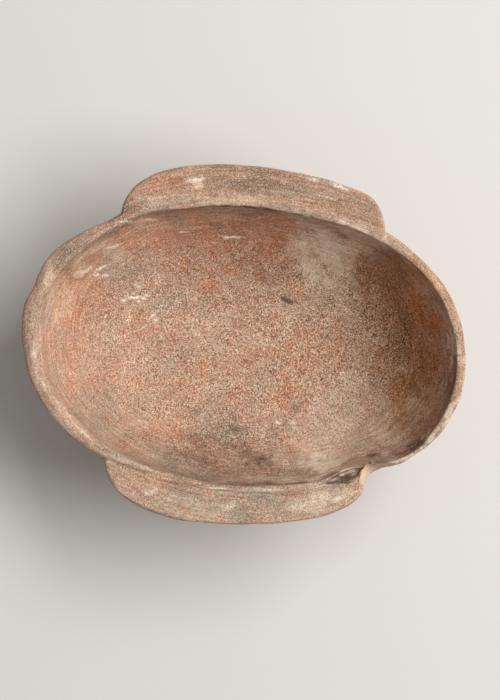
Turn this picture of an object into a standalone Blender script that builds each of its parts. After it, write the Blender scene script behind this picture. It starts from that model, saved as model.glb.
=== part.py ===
"""Ear cup: an oval earthenware drinking cup with two flat ears along its rim and a low oval foot.

The cup is one piece of clay. Its bowl is a stack of oval rings: up the inside from the floor to the lip,
over the lip, down the outside to the foot, and across the foot's flat underside. The two ears are plates
whose inner edges are buried in the wall, and a chip is missing where the near ear ends.

X runs along the bowl, Y across it through both ears, Z up. The origin is the centre of the foot's
underside, which is the face that the cup stands on. All sizes are in metres, and directions are in
degrees from +X towards +Y.
"""

import math

import bmesh
import bpy
from mathutils import Vector

MM = 0.001

# Bowl, measured over the outside of its wall at the rim
BOWL_LENGTH = 128.9 * MM
BOWL_WIDTH = 87.0 * MM
OVAL_POWER = 2.15
SIDE_HEIGHT = 37.5 * MM
END_RISE = 3.5 * MM
END_RISE_POWER = 3.0
HOLLOW_POWER = 2.4

# Foot, and the clay between it and the hollow
FOOT_LENGTH = 64.0 * MM
FOOT_WIDTH = 37.0 * MM
FOOT_HEIGHT = 2.4 * MM
FOOT_TAPER = 0.7 * MM
FLOOR_THICKNESS = 4.2 * MM

# Outside wall's curve from the foot's top edge to the rim: shares of the run outwards and of the rise
WALL_CURVE = ((0.0, 0.0), (0.33, 0.19), (1.0, 0.37), (1.0, 1.0))

# Lip, which is broader at the worn left end
LIP_WIDTH = 2.8 * MM
WORN_LIP_EXTRA = 2.8 * MM
WORN_LIP_POWER = 5.0
LIP_INNER_DROP = 0.5 * MM
LIP_OUTER_DROP = 1.1 * MM

# Lip's rounded top between its edges: shares of its width from the inner edge, and of its outer drop
LIP_ROUNDING = ((0.22, 0.0), (0.60, 0.0), (0.88, 0.4))

# Where the hand-made rim stands off the true oval: (direction, spread in degrees, share of the height).
# The whole wall follows the swells. The dents are on the lip's outer side and die away down the wall.
SWELL_HEIGHT = 1.14 * MM
RIM_SWELLS = (
    (19.0, 20.0, -0.32),
    (-16.0, 18.0, 1.0),
    (172.6, 11.5, 0.75),
)
DENT_HEIGHT = 0.90 * MM
RIM_DENTS = (
    (142.0, 5.0, -1.05),
    (158.6, 6.0, 1.0),
    (169.4, 3.2, -0.94),
)
DENT_FADE_POWER = 4

# Ears: how far they run along the bowl and stand out past its width, and their plates
EAR_LENGTH = 77.8 * MM
EAR_REACH = 9.0 * MM
EAR_POWER = 2.3
EAR_ROOT_THICKNESS = 5.2 * MM
EAR_EDGE_THICKNESS = 3.8 * MM
EAR_ROUNDING = 0.9 * MM
EAR_STEP = 0.7 * MM
EAR_LIFT = 1.5 * MM
EAR_BURIED = 1.4 * MM
EAR_END_BURIED = 0.7 * MM

# Each ear's shift along the bowl, and its lean: the share by which it reaches further at its +X end
FAR_EAR_SHIFT = 0.1 * MM
FAR_EAR_LEAN = -0.02
NEAR_EAR_SHIFT = 0.9 * MM
NEAR_EAR_LEAN = -0.074

# Where the far ear's edge stands off its true curve, as the rim's swells do
EAR_SWELLS = (
    (54.5, 5.0, 0.75),
    (73.0, 7.0, -0.25),
)

# Chip just past the near ear's +X end: a tilted cylinder whose axis stands off the rim's crest and leans
# out as it goes down
CHIP_TURN = 1.2
CHIP_STAND_OFF = 4.0 * MM
CHIP_RADIUS = 6.7 * MM
CHIP_LEAN = 16.0
CHIP_DEPTH = 11.0 * MM

# Fineness of the facets
AROUND = 96
HOLLOW_RINGS = 12
WALL_RINGS = 9
EAR_STATIONS = 36
CHIP_SIDES = 32
HALVINGS = 40

CLAY_COLOUR = (0.46, 0.29, 0.20, 1.0)
CLAY_ROUGHNESS = 0.9


def oval_radius(angle, length, width):
    """Distance from the centre to a superellipse of that length and width, in that direction."""
    along = abs(math.cos(angle)) / (length / 2)
    across = abs(math.sin(angle)) / (width / 2)
    return (along**OVAL_POWER + across**OVAL_POWER) ** (-1 / OVAL_POWER)


def bells(angle, lumps):
    """A sum of bell curves around the rim, one for each lump, at that angle in radians."""
    total = 0.0
    for direction, spread, share in lumps:
        off = math.remainder(math.degrees(angle) - direction, 360)
        total += share * math.exp(-((off / spread) ** 2))
    return total


def wall_radius(angle):
    """Outside of the wall at the rim, without the lip's own dents."""
    return oval_radius(angle, BOWL_LENGTH, BOWL_WIDTH) + SWELL_HEIGHT * bells(angle, RIM_SWELLS)


def dent(angle):
    return DENT_HEIGHT * bells(angle, RIM_DENTS)


def hollow_radius(angle):
    """The lip's inner edge. The lip swells smoothly towards the worn left end."""
    worn = ((1 - math.cos(angle)) / 2) ** WORN_LIP_POWER
    return wall_radius(angle) - LIP_WIDTH - WORN_LIP_EXTRA * worn


def rim_height(angle):
    """Height of the lip's crest: lowest between the ears and rising to both ends."""
    return SIDE_HEIGHT + END_RISE * abs(math.cos(angle)) ** END_RISE_POWER


def wall_share(t):
    """The outside wall's cubic curve at t, as a share of its run and a share of its rise."""
    weights = ((1 - t) ** 3, 3 * t * (1 - t) ** 2, 3 * t * t * (1 - t), t**3)
    run = sum(w * p[0] for w, p in zip(weights, WALL_CURVE))
    rise = sum(w * p[1] for w, p in zip(weights, WALL_CURVE))
    return run, rise


def ring_angles():
    """Directions of a ring's points, evenly spread along an ellipse of the bowl's proportions."""
    steps = [2 * math.pi * i / AROUND for i in range(AROUND)]
    return [math.atan2(BOWL_WIDTH * math.sin(s), BOWL_LENGTH * math.cos(s)) for s in steps]


def polar(angle, radius, height):
    return Vector((radius * math.cos(angle), radius * math.sin(angle), height))


def hollow_ring(share):
    """A ring inside the bowl, at that share of the way from the centre to the lip's inner edge."""
    floor = FOOT_HEIGHT + FLOOR_THICKNESS
    rise = 1 - math.sqrt(1 - share**HOLLOW_POWER)
    points = []
    for a in ring_angles():
        top = rim_height(a) - LIP_INNER_DROP
        points.append(polar(a, hollow_radius(a) * share, floor + (top - floor) * rise))
    return points


def lip_ring(across, drop):
    """A ring along the lip, at that share of its width from the inner edge and that far below its crest."""
    points = []
    for a in ring_angles():
        width = wall_radius(a) + dent(a) - hollow_radius(a)
        radius = hollow_radius(a) + width * across
        points.append(polar(a, radius, rim_height(a) - drop))
    return points


def wall_ring(t):
    """A ring of the outside wall: t is 0 at the foot's top edge and 1 at the lip's outer edge."""
    run, rise = wall_share(t)
    points = []
    for a in ring_angles():
        foot = oval_radius(a, FOOT_LENGTH, FOOT_WIDTH)
        radius = foot + (wall_radius(a) - foot) * run + dent(a) * rise**DENT_FADE_POWER
        top = rim_height(a) - LIP_OUTER_DROP
        points.append(polar(a, radius, FOOT_HEIGHT + (top - FOOT_HEIGHT) * rise))
    return points


def underside_ring():
    """The edge of the flat underside."""
    length, width = FOOT_LENGTH - 2 * FOOT_TAPER, FOOT_WIDTH - 2 * FOOT_TAPER
    return [polar(a, oval_radius(a, length, width), 0.0) for a in ring_angles()]


def bowl_rings():
    """All rings in order, from the middle of the floor, over the lip, to the edge of the underside."""
    rings = [hollow_ring(math.sin(math.pi / 2 * i / HOLLOW_RINGS)) for i in range(1, HOLLOW_RINGS + 1)]
    rings += [lip_ring(across, drop * LIP_OUTER_DROP) for across, drop in LIP_ROUNDING]
    rings += [wall_ring(1 - i / WALL_RINGS) for i in range(WALL_RINGS + 1)]
    rings.append(underside_ring())
    return rings


def clay():
    material = bpy.data.materials.new("fired_earthenware")
    material.use_nodes = True
    shader = material.node_tree.nodes["Principled BSDF"]
    shader.inputs["Base Color"].default_value = CLAY_COLOUR
    shader.inputs["Roughness"].default_value = CLAY_ROUGHNESS
    shader.inputs["Metallic"].default_value = 0.0
    return material


def skin(bm, rings):
    """Joins closed rings of equal length, each to the next, with four-sided faces."""
    loops = [[bm.verts.new(p) for p in ring] for ring in rings]
    for lower, upper in zip(loops, loops[1:]):
        for i in range(len(lower)):
            j = (i + 1) % len(lower)
            bm.faces.new((lower[i], lower[j], upper[j], upper[i]))
    return loops


def object_from(bm, name):
    bmesh.ops.recalc_face_normals(bm, faces=bm.faces)
    mesh = bpy.data.meshes.new(name)
    bm.to_mesh(mesh)
    bm.free()
    made = bpy.data.objects.new(name, mesh)
    bpy.context.scene.collection.objects.link(made)
    return made


def helper(made):
    """Marks an object that only joins or cuts the cup."""
    made.hide_render = True
    made.display_type = "WIRE"
    return made


def make_bowl():
    bm = bmesh.new()
    loops = skin(bm, bowl_rings())
    middle = bm.verts.new((0.0, 0.0, FOOT_HEIGHT + FLOOR_THICKNESS))
    first = loops[0]
    for i in range(len(first)):
        bm.faces.new((middle, first[(i + 1) % len(first)], first[i]))
    bm.faces.new(loops[-1])
    return object_from(bm, "ear_cup")


def wall_angle(x, side):
    """Direction, on that side of the bowl, in which the wall's outside at the rim lies at x."""
    low, high = 0.0, math.pi
    for _ in range(HALVINGS):
        middle = (low + high) / 2
        if wall_radius(side * middle) * math.cos(middle) > x:
            low = middle
        else:
            high = middle
    return side * middle


def wall_y(x, side):
    """How far out across the bowl the wall's outside at the rim lies at x, on that side."""
    angle = wall_angle(x, side)
    return wall_radius(angle) * abs(math.sin(angle))


def ear_edge(share, side, shift, lean):
    """A point of an ear's outer edge seen from above, at that share of the way from its +X end.

    The edge is half a superellipse on the line between the ear's two ends, which lie inside the wall.
    The point is given as its direction and its distance from the centre, on the far side of the bowl.
    """
    half = EAR_LENGTH / 2
    first = wall_y(shift + half, side) - EAR_END_BURIED
    last = wall_y(shift - half, side) - EAR_END_BURIED
    turn = math.pi * share
    along = math.copysign(abs(math.cos(turn)) ** (2 / EAR_POWER), math.cos(turn))
    base = (first + last) / 2 + (first - last) / 2 * along
    reach = (BOWL_WIDTH / 2 + EAR_REACH - (first + last) / 2) * (1 + lean * along)
    out = base + reach * abs(math.sin(turn)) ** (2 / EAR_POWER)
    direction = math.atan2(out, shift + half * along)
    swell = SWELL_HEIGHT * bells(side * direction, EAR_SWELLS)
    return direction, math.hypot(out, shift + half * along) + swell


def ear_section(share, side, shift, lean):
    """One upright section of an ear, from its buried edge below, round its outer edge and back on top."""
    direction, edge_radius = ear_edge(share, side, shift, lean)
    angle = side * direction
    buried_radius = wall_radius(angle) - EAR_BURIED
    length = edge_radius - buried_radius
    rounding = min(EAR_ROUNDING, length / 3)
    corner = rounding / EAR_EDGE_THICKNESS

    def point(distance, depth):
        """At that distance from the buried edge; depth is 0 on the top and 1 on the underside."""
        out = distance / (EAR_REACH + EAR_BURIED)
        thickness = EAR_ROOT_THICKNESS + (EAR_EDGE_THICKNESS - EAR_ROOT_THICKNESS) * out
        top = rim_height(angle) - EAR_STEP + EAR_LIFT * out
        return polar(angle, buried_radius + distance, top - thickness * depth)

    return [
        point(0.0, 1.0),
        point(length - rounding, 1.0),
        point(length, 1.0 - corner),
        point(length, corner),
        point(length - rounding, 0.0),
        point(length / 2, 0.0),
        point(0.0, 0.0),
    ]


def make_ear(name, side, shift, lean):
    """A crescent plate along one long side of the bowl: side is 1 for the far side and -1 for the near."""
    bm = bmesh.new()
    sections = [ear_section(i / EAR_STATIONS, side, shift, lean) for i in range(EAR_STATIONS + 1)]
    loops = skin(bm, sections)
    bm.faces.new(loops[0])
    bm.faces.new(loops[-1])
    return helper(object_from(bm, name))


def make_chip():
    """The space of the missing chip: a tilted cylinder just outside the rim."""
    angle = wall_angle(NEAR_EAR_SHIFT + EAR_LENGTH / 2, -1) + math.radians(CHIP_TURN)
    bm = bmesh.new()
    bmesh.ops.create_cone(
        bm,
        cap_ends=True,
        segments=CHIP_SIDES,
        radius1=CHIP_RADIUS,
        radius2=CHIP_RADIUS,
        depth=2 * CHIP_DEPTH,
    )
    chip = object_from(bm, "missing_chip")
    chip.location = polar(angle, wall_radius(angle) + CHIP_STAND_OFF, rim_height(angle))
    chip.rotation_euler = (0.0, -math.radians(CHIP_LEAN), angle)
    return helper(chip)


def change_by(made, other, operation):
    step = made.modifiers.new(other.name, "BOOLEAN")
    step.operation = operation
    step.solver = "EXACT"
    step.object = other


def main():
    for old in list(bpy.data.objects):
        bpy.data.objects.remove(old)
    cup = make_bowl()
    cup.data.materials.append(clay())
    cup.data.shade_smooth()
    change_by(cup, make_ear("far_ear", 1, FAR_EAR_SHIFT, FAR_EAR_LEAN), "UNION")
    change_by(cup, make_ear("near_ear", -1, NEAR_EAR_SHIFT, NEAR_EAR_LEAN), "UNION")
    change_by(cup, make_chip(), "DIFFERENCE")


main()
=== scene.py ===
"""Ear cup, dressed: an old earthenware drinking cup seen from straight above, on a pale studio floor.

The cup is one surface. Its hollow's middle is a square grid bent into an oval disc. From there one upright
section in each direction runs up the inside, over the lip, out over the ear, back under it, down the
outside and across the underside to its centre. Stains, wear and relief are worked out for every point of
that surface, and the clay's material reads them.

X runs along the bowl, Y across it through both ears, Z up, in metres, as in the packed model. Directions
are in radians from +X towards +Y in the functions, and in degrees in the tables.
"""

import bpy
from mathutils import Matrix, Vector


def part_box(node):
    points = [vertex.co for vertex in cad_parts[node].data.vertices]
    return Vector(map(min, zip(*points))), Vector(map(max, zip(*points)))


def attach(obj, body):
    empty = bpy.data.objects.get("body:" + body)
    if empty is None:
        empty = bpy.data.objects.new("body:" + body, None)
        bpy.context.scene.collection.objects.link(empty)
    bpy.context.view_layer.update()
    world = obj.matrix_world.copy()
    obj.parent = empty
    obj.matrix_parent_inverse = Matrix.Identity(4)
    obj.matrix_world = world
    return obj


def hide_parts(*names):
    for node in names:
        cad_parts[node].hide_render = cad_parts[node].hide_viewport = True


bl_info = {
    "name": "Ear cup",
    "version": (1, 0, 0),
    "blender": (4, 5, 0),
    "location": "View3D > Sidebar > Ear cup",
    "description": "Dresses the packed ear cup in fired earthenware and sets it on a studio floor",
    "category": "Object",
}

import bpy
import numpy as np

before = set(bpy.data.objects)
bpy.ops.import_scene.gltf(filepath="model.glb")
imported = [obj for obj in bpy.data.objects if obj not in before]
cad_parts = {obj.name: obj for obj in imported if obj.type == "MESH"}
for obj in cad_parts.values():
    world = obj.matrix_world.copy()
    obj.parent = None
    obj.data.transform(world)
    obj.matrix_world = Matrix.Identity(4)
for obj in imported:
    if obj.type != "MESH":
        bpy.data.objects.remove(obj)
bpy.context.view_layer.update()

MM = 0.001

# These keep a divisor from being 0 and a table rising
NEVER_ZERO = 0.01 * MM
TINY_STEP = 1e-6 * MM

# Curves of the form. The wall's is a Bezier curve through (run, rise) from the foot to the rim
OVAL_POWER = 2.15
END_RISE_POWER = 3.0
HOLLOW_POWER = 2.4
EAR_POWER = 2.3
WORN_LIP_POWER = 5.0
WALL_CURVE = ((0.0, 0.0), (0.33, 0.19), (1.0, 0.37), (1.0, 1.0))

# Where the hand-made rim stands off the true oval: (direction, spread in degrees, share of the height)
SWELL_HEIGHT = 1.14 * MM
RIM_SWELLS = ((19.0, 20.0, -0.32), (-16.0, 18.0, 1.0), (172.6, 11.5, 0.75))
EAR_SWELLS = ((54.5, 5.0, 0.75), (73.0, 7.0, -0.25), (44.5, 3.6, -0.6), (-47.3, 2.6, -0.3))
DENT_HEIGHT = 0.90 * MM
RIM_DENTS = ((142.0, 5.0, -1.05), (158.6, 6.0, 1.0), (169.4, 3.2, -0.94))
DENT_FADE_POWER = 4

# Where the lip is thinner than elsewhere: (direction, spread in degrees, share of the thinning)
LIP_THINNING = 1.0 * MM
LIP_THIN_PLACES = ((-95.0, 18.0, 0.5), (132.0, 8.0, 1.1), (68.0, 26.0, -0.85), (-27.5, 9.0, 1.5))

# Lip: drops from its crest to its edges, how square its arch is, and how much rounder the worn end is
LIP_INNER_DROP = 0.6 * MM
WORN_INNER_DROP = 3.0 * MM
LIP_OUTER_DROP = 1.1 * MM
LIP_SQUARENESS = 2.8
WORN_DROP = 0.5 * MM
WORN_SQUARENESS = 0.9

# Ears: (side, shift along the bowl, share by which the ear reaches further at its +X end). Their top is a
# step below the lip's crest and lifts outwards. Their ends and roots are buried in the wall
EARS = ((1, 0.1 * MM, -0.02), (-1, 0.9 * MM, -0.074))
EAR_STEP = 0.7 * MM
EAR_LIFT = 1.5 * MM
EAR_BURIED = 1.4 * MM
EAR_END_BURIED = 0.7 * MM
EAR_TAIL = 4.0 * MM
EAR_ROUNDING = 0.9 * MM
MOST_ROUNDING = 0.8
EAR_SQUARENESS = 2.5
EAR_ROOT_SOFTNESS = 0.45 * MM
EAR_PRESENCE = 1.2 * MM

# Foot: how far its side leans in, and its underside's shallow hollow, whose slope and innermost row are
# shares of the foot's size
FOOT_TAPER = 0.7 * MM
UNDERSIDE_HOLLOW = 0.5 * MM
UNDERSIDE_SLOPE = (0.96, 0.75)
UNDERSIDE_MIDDLE = 0.04

# Missing chip where the near ear ends: a tilted cylinder just outside the rim, whose cut is jagged. The
# clay is clean between its two steps, in degrees
CHIP_TURN = 1.2
CHIP_STAND_OFF = 3.45 * MM
CHIP_RADIUS = 6.7 * MM
CHIP_LEAN = 24.0
CHIP_REACH = 25.0
CHIP_SHOULDER = (-38.0, -32.3)
CHIP_SHOULDER_RISE = 6.4 * MM
CHIP_CLEAN = ((-46.5, -44.0), (-38.5, -41.5))
CHIP_JAG = 0.10 * MM
CHIP_JAG_WAVE = 2.2 * MM
CHIP_JAG_SEED = 71
CHIP_EDGE = 0.15 * MM

# Broken lip beside the chip: a ridge that stands inwards, a step down from it to the ear, and the deeper
# trough behind the ridge: (direction, spread in degrees)
LEDGE = (-45.3, 7.6)
LEDGE_WIDTH = 2.2 * MM
LEDGE_POWER = 14
BREAK = (-46.3, 6.2)
BREAK_DEPTH = 0.9 * MM
BREAK_INNER = 0.6 * MM
BREAK_OUTER = 3.3 * MM
BREAK_SLOPE = 0.35 * MM
TROUGH_DEPTH = 1.3 * MM
TROUGH_PLACE = 1.3 * MM
TROUGH_WIDTH = 0.7 * MM

# Grooves between the lip and an ear: (direction, spread in degrees, mm from the lip's inner edge, its
# change in mm for each degree, depth in mm)
LIP_GROOVES = (
    (-122.0, 13.0, 2.3, -0.11, 0.55),
    (-48.0, 5.0, 3.3, 0.0, 0.35),
    (48.0, 11.0, 1.8, 0.0, 0.14),
)
GROOVE_WIDTH = 0.40 * MM

# How often the corners of a section are rounded
SOFTENING = 3

# Hand unevenness: ripples as (wave, share, seed). They are calmer near the lip's middle, on its inner side.
# Here and below, places are shares of the way to the rim
HAND_RIPPLES = ((24.0 * MM, 0.8, 11), (9.0 * MM, 0.45, 12))
LIP_CALM = 0.5
LIP_MIDDLE = 1.02
LIP_CALM_REACH = 0.05
LIP_CALM_FADE = (1.02, 0.9)

# Wiping marks: how many waves the rim's radius is, their height, and how much of them the floor lost
WIPING_ROUND = 1.8
WIPING_PITCH = 2.4 * MM
WIPING_SEED = 13
FLOOR_WIPED_OFF = 0.8

# Grit: where it is strongest, and how much of it the walls have. Then the roughness of broken clay
GRITTY_FLOOR = (0.92, 0.7)
GRIT_WAVE = 1.7 * MM
GRIT_SEED = 14
WALL_GRIT = 0.35
FRACTURE_WAVE = 1.6 * MM
FRACTURE_SEED = 15

# Stains seen from above, by kind: (x, y, half length, half width in mm, turn in degrees, strength)
STAINS = {
    "pink": (
        (28, 10, 18, 16, 0, 0.36), (2, 27, 26, 8, 0, 0.38), (11.7, -9.7, 14.9, 11.9, 4, 0.36),
        (-22.7, 1.3, 17.9, 8.9, 4, 0.24), (0, 33.5, 24, 5, 0, 0.4), (-21.7, -27.3, 17.9, 6.6, -16, 0.38),
        (0.4, 16.8, 14.9, 7.5, 4, 0.3), (51.4, 8.6, 16.4, 6.6, 90, 0.35), (0, 33, 18, 5, 0, 0.3),
        (23, 30, 11, 8, -20, 0.4), (-27.7, 31.7, 16.4, 4.2, 16, 0.9), (-46, 15, 7, 9, 0, 0.35),
        (39.2, 1.6, 8.9, 6.6, 94, 0.25), (19, -27.2, 10.7, 5.4, 4, 0.3), (-9.2, 32.1, 13.4, 4.2, 2, 0.75),
        (6.4, 36.1, 14.9, 3.6, -8, 0.5), (-52, 12, 5, 10, 20, 0.45), (-55.8, 3.7, 12.5, 3.9, 92, 0.55),
        (23, 27, 8, 6, -20, 0.25), (-24, 31, 9, 5, 10, 0.3), (-12.4, 25.4, 11.9, 3.6, 4, 0.35),
        (-50.3, -9, 7.8, 5.1, 94, 0.5), (-11, -29, 9, 4, 0, 0.42), (-48.3, 9.8, 4.2, 7.2, 4, 0.4),
        (1, 28.8, 6.6, 3.6, -16, 0.35), (33.2, -5.5, 6.6, 3.6, 24, 0.3), (-49, 19.1, 6, 3.3, 52, 0.45),
        (15, -35.3, 8.9, 2.1, 6, 0.35),
    ),
    # The rust rows on the right end's wall, x over about 45 mm, make that wall more orange-brown
    "rust": (
        (4, 28, 24, 7, 0, 0.26), (46.7, 18.7, 15.5, 7.8, 82, 0.16), (0, 29, 20, 6, 0, 0.2),
        (26, 0, 15, 8, 0, 0.3), (25, 3, 13, 7, 0, 0.34), (25, 1, 13, 7, 0, 0.2), (27, -2, 13, 7, 0, 0.28),
        (0, 32, 16, 5, 0, 0.5), (49.7, -6.6, 10.1, 7.8, 84, 0.22), (0, 33, 18, 4, 0, 0.3),
        (10, -3, 12, 6, 0, 0.22), (14, 18, 12, 6, 0, 0.16), (52, 0, 6, 12, 0, 0.25),
        (55, 2, 5, 14, 0, 0.18), (55, 2, 6, 11, 0, 0.3), (42, 18, 7, 9, 0, 0.35), (14, 18, 8, 7, 0, 0.2),
        (40, 20, 7, 8, 0, 0.3), (42, 20, 7, 7, 0, 0.28), (16, 20, 6, 8, 0, 0.15), (28, 14, 8, 6, 0, 0.15),
        (24.7, 2, 7.8, 6, 64, 0.39), (40.1, 27.9, 8.9, 4.8, -38, 0.12), (47, -10, 6, 7, 0, 0.1),
        (-6, 33, 9, 4, 0, 0.3), (40, 20, 6, 6, 0, 0.2), (-5, 23, 7, 5, 0, 0.18),
        (-51.5, -8.5, 7.6, 4.4, 90, 0.08), (-22, 29, 8, 4, 8, 0.2), (38, 20, 5, 6, 0, 0.15),
        (40, 9, 5, 6, 0, 0.4), (31, 27, 8, 3.5, -30, 0.35), (57, 6, 4, 7, 0, 0.3),
        (32.2, 7.1, 7.2, 3.6, 94, 0.2), (32.3, 33.7, 7.2, 3.6, -26, 0.22), (16, -15, 5, 5, 0, 0.2),
        (-21.2, 22.3, 6.6, 3.6, 4, 0.33), (-20, 27, 6, 4, 0, 0.2), (-4, 33, 8, 3, 0, 0.3),
        (13, 33, 8, 3, 0, 0.3), (16, 33, 6, 4, -10, 0.3), (17, 21, 6, 4, 0, 0.2), (19, -15, 6, 4, 0, 0.25),
        (30, 27, 8, 3, -30, 0.25), (46.4, -13.4, 6.6, 3.6, 64, 0.13), (27, 4, 7, 3, 20, 0.5),
        (-45, 15, 5, 4, 20, 0.3), (18, -15, 5, 4, 0, 0.25), (40, 21, 5, 4, 0, 0.4),
        (-2.2, 31.5, 7.8, 2.4, 0, 0.28), (-12, -27, 6, 3, 0, 0.25), (16, 33, 6, 3, -10, 0.3),
        (22, -3, 6, 3, 0, 0.4), (23.3, -10.3, 6, 3, 4, 0.3), (31, -3, 6, 3, 0, 0.4),
        (34.8, 20.9, 3.6, 4.8, 4, 0.22), (52.4, 17.5, 6.6, 2.4, -60, 0.2), (56, 6.5, 7.8, 2.1, 90, 0.25),
        (-20, -3, 5, 3, 0, 0.22), (-11, -27, 6, 2.5, 0, 0.25), (24, -4, 6, 2.5, 0, 0.4),
        (17, -15.3, 5.4, 2.4, 86, 0.57), (-26.9, -20.2, 4.8, 2.4, -6, 0.3), (-26, 45.4, 6, 2, 22, 0.7),
        (3.7, 33.1, 6.6, 1.8, -2, 0.24), (33, -3, 4, 3, 0, 0.4), (20.2, 1.3, 3.9, 2.7, 64, 0.54),
        (14.8, -27.8, 4.2, 2.4, -6, 0.63), (16, 33, 4, 2.4, 0, 0.5), (58, 3, 2.5, 4, 0, 0.4),
        (-49.1, -15.5, 3.6, 2.4, 4, 0.12), (-5.5, 23, 3.6, 2.4, 4, 0.45), (6.2, -36.8, 7.8, 1.2, 4, 0.26),
        (-53.8, -4.5, 3.3, 2.4, 94, 0.07), (-17, -26.7, 3.3, 2.4, 4, 0.48),
        (-13.7, -41.8, 7.8, 0.9, -4, 0.34), (2.1, -3.7, 3.9, 1.8, -8, 0.75),
        (-49.4, -24.5, 3.6, 1.8, -46, 0.22), (-35.5, -30.5, 3.3, 1.8, -16, 0.54),
        (-23.7, -1.8, 3.9, 1.5, 4, 0.45), (-11, -7.8, 2.4, 2.4, 4, 0.72), (0, -1.5, 4.2, 1.5, 4, 0.45),
        (7, 3.7, 3, 1.8, 4, 0.33), (-9.8, 3.9, 2.4, 1.5, 4, 0.39), (-6.8, -32.7, 3, 1.2, 4, 0.54),
        (-1.1, -14, 2.4, 1.8, 4, 0.54), (3, 51.3, 4.5, 0.9, -4, 0.3), (36.9, 36.6, 2.7, 1.5, -58, 0.34),
        (-38.6, -13, 2.1, 1.2, 4, 0.42), (-30.8, -13.9, 2.1, 1.2, 4, 0.39), (-28.7, 44, 2.7, 1.2, 26, 0.28),
        (-27.9, -44.1, 1.8, 1.5, 4, 0.46), (-19.1, -40.5, 3.6, 0.9, -8, 0.46),
        (-12.2, -30.2, 3, 0.9, -20, 0.9), (13.9, 42.7, 1.8, 1.8, 4, 0.5), (15.2, 16.4, 2.1, 1.5, 40, 1),
        (25.8, 41, 1.8, 1.8, 4, 0.34), (56.2, 12.4, 2.7, 1.2, 84, 0.23), (-61.4, -1.6, 2.7, 0.9, 94, 0.3),
        (-14.6, -48.6, 1.8, 0.9, -10, 0.28), (-2, -32.3, 1.8, 1.2, 4, 0.48),
        (14.1, 33.8, 2.7, 0.9, 34, 0.34), (14.8, 16.4, 1.8, 1.2, 4, 0.63), (54, 23.2, 2.1, 0.9, -54, 0.31),
    ),
    # Ochre is partly painted warm shade: on the right end, which lies in shade, it gives the wall the colour
    # of light bounced inside the cup. It is also a brown stain
    "ochre_and_warm_shade": (
        (50, 2, 11, 27, 4, 0.92), (32, -2, 12, 18, 0, 0.2), (20, -2, 22, 8, 6, 0.16),
        (0, 46, 34, 5, -4, 0.12), (42, 20, 12, 13, 0, 0.6), (4, 24, 22, 6, 0, 0.14),
        (26, -1, 14, 9, 0, 0.25), (46, 10, 7, 12, 0, 0.4), (36, 28, 10, 5, -30, 0.55),
        (40, 21, 6, 4, 0, 0.3),
    ),
    "ash": (
        (0, -47, 34, 5, 3, 0.42), (0, -45.5, 32, 5, 3, 0.34), (0, 46, 32, 5, -4, 0.16),
        (22, -35, 11, 5, 8, 0.35), (35.4, -30, 13.1, 4.2, 16, 0.26), (-40, -26, 10, 5, -35, 0.25),
        (-37.4, 17.9, 8.9, 4.5, 22, 0.56), (-4.8, 46.2, 17.9, 2.1, 4, 0.4),
        (-14.5, 12.6, 8.9, 4.2, 4, 0.28), (26, -43, 9, 4, 14, 0.35), (-40.3, -19.7, 7.8, 4.2, -26, 0.3),
        (-61, 4, 13, 2.5, 90, 0.4), (5.9, -45, 16.7, 1.8, 6, 0.42), (-42, -24, 7, 4, -35, 0.25),
        (-38, -33, 9, 3, -32, 0.3), (24, -33, 9, 3, 8, 0.3), (48.1, -21.5, 8.9, 3, 44, 0.24),
        (-25, 11.8, 7.2, 3.6, 4, 0.38), (-20, 41, 8, 3, 8, 0.2), (-3.7, -26.3, 7.2, 3.3, 4, 0.6),
        (53.3, -10.7, 6.6, 3.6, 80, 0.26), (41.6, 32.5, 7.8, 3, -34, 0.16), (-26.1, -2, 6, 3.6, 4, 0.35),
        (-12, -38.5, 9, 2.4, -4, 0.4), (-21.8, -34.8, 8.9, 2.4, -14, 0.34),
        (13.7, -39.4, 17.9, 1.2, 6, 0.3), (7, -15, 5, 4, 0, 0.25), (3.2, -18, 5.4, 3.6, 4, 0.4),
        (-52.3, 23.2, 10.1, 1.8, 48, 0.5), (-43.3, -25.7, 6, 3, -34, 0.5), (-34, -38, 7, 2.5, -24, 0.3),
        (-19.7, -6.1, 6, 3, 4, 0.38), (-16.5, -47.6, 11.9, 1.5, -10, 0.3), (12.7, 47, 8.9, 1.8, -4, 0.34),
        (-58, 14, 6, 2.5, 70, 0.4), (17, -33, 5, 3, 6, 0.4), (-8.9, -18.9, 4.8, 3, 4, 0.3),
        (-8.9, -0.6, 4.8, 3, 4, 0.22), (-11, -39.5, 8, 1.6, -4, 0.4), (22, 39.5, 8, 1.6, -14, 0.3),
        (14, 39.7, 13.1, 0.9, -10, 0.46), (-2.1, 49.4, 11.9, 0.9, 2, 0.34),
        (33.1, 40.4, 4.2, 2.4, -36, 0.3), (-33.7, -35, 7.2, 1.2, -24, 0.34),
        (29.6, 37.2, 6.6, 0.9, -20, 0.46), (-61.4, 8.3, 6, 0.9, 82, 0.4), (-56, -23.4, 4.2, 0.9, -58, 0.34),
        (-43.7, 28.8, 3.6, 1.2, 34, 0.62),
    ),
    # The soot rows on the right end's wall, x over about 35 mm, are partly painted shade where that wall
    # turns away from the lamp; the rest are dark soil and smoke stains
    "soot_and_shade": (
        (-4, -30, 15, 5.5, -2, 0.42), (2, 45.5, 15, 4, -2, 0.26), (0, 45.5, 14, 4, 0, 0.14),
        (2, 46, 14, 3.5, -2, 0.16), (-11.8, -36.2, 11.9, 3.9, -4, 0.42), (6.2, -37.9, 15.5, 2.7, 4, 0.4),
        (41.5, 23.5, 7, 6, -35, 0.36), (-24, -31, 10, 4, -18, 0.16), (-20, 11, 8, 5, 0, 0.12),
        (-6, -27, 11, 3.5, 0, 0.2), (-4, -27, 12, 3, 0, 0.2), (-2, -31, 9, 4, 0, 0.22),
        (27, 45.5, 9, 4, -16, 0.16), (-34, 27, 8, 4, 20, 0.14), (-34, -28, 7, 4, -30, 0.18),
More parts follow.
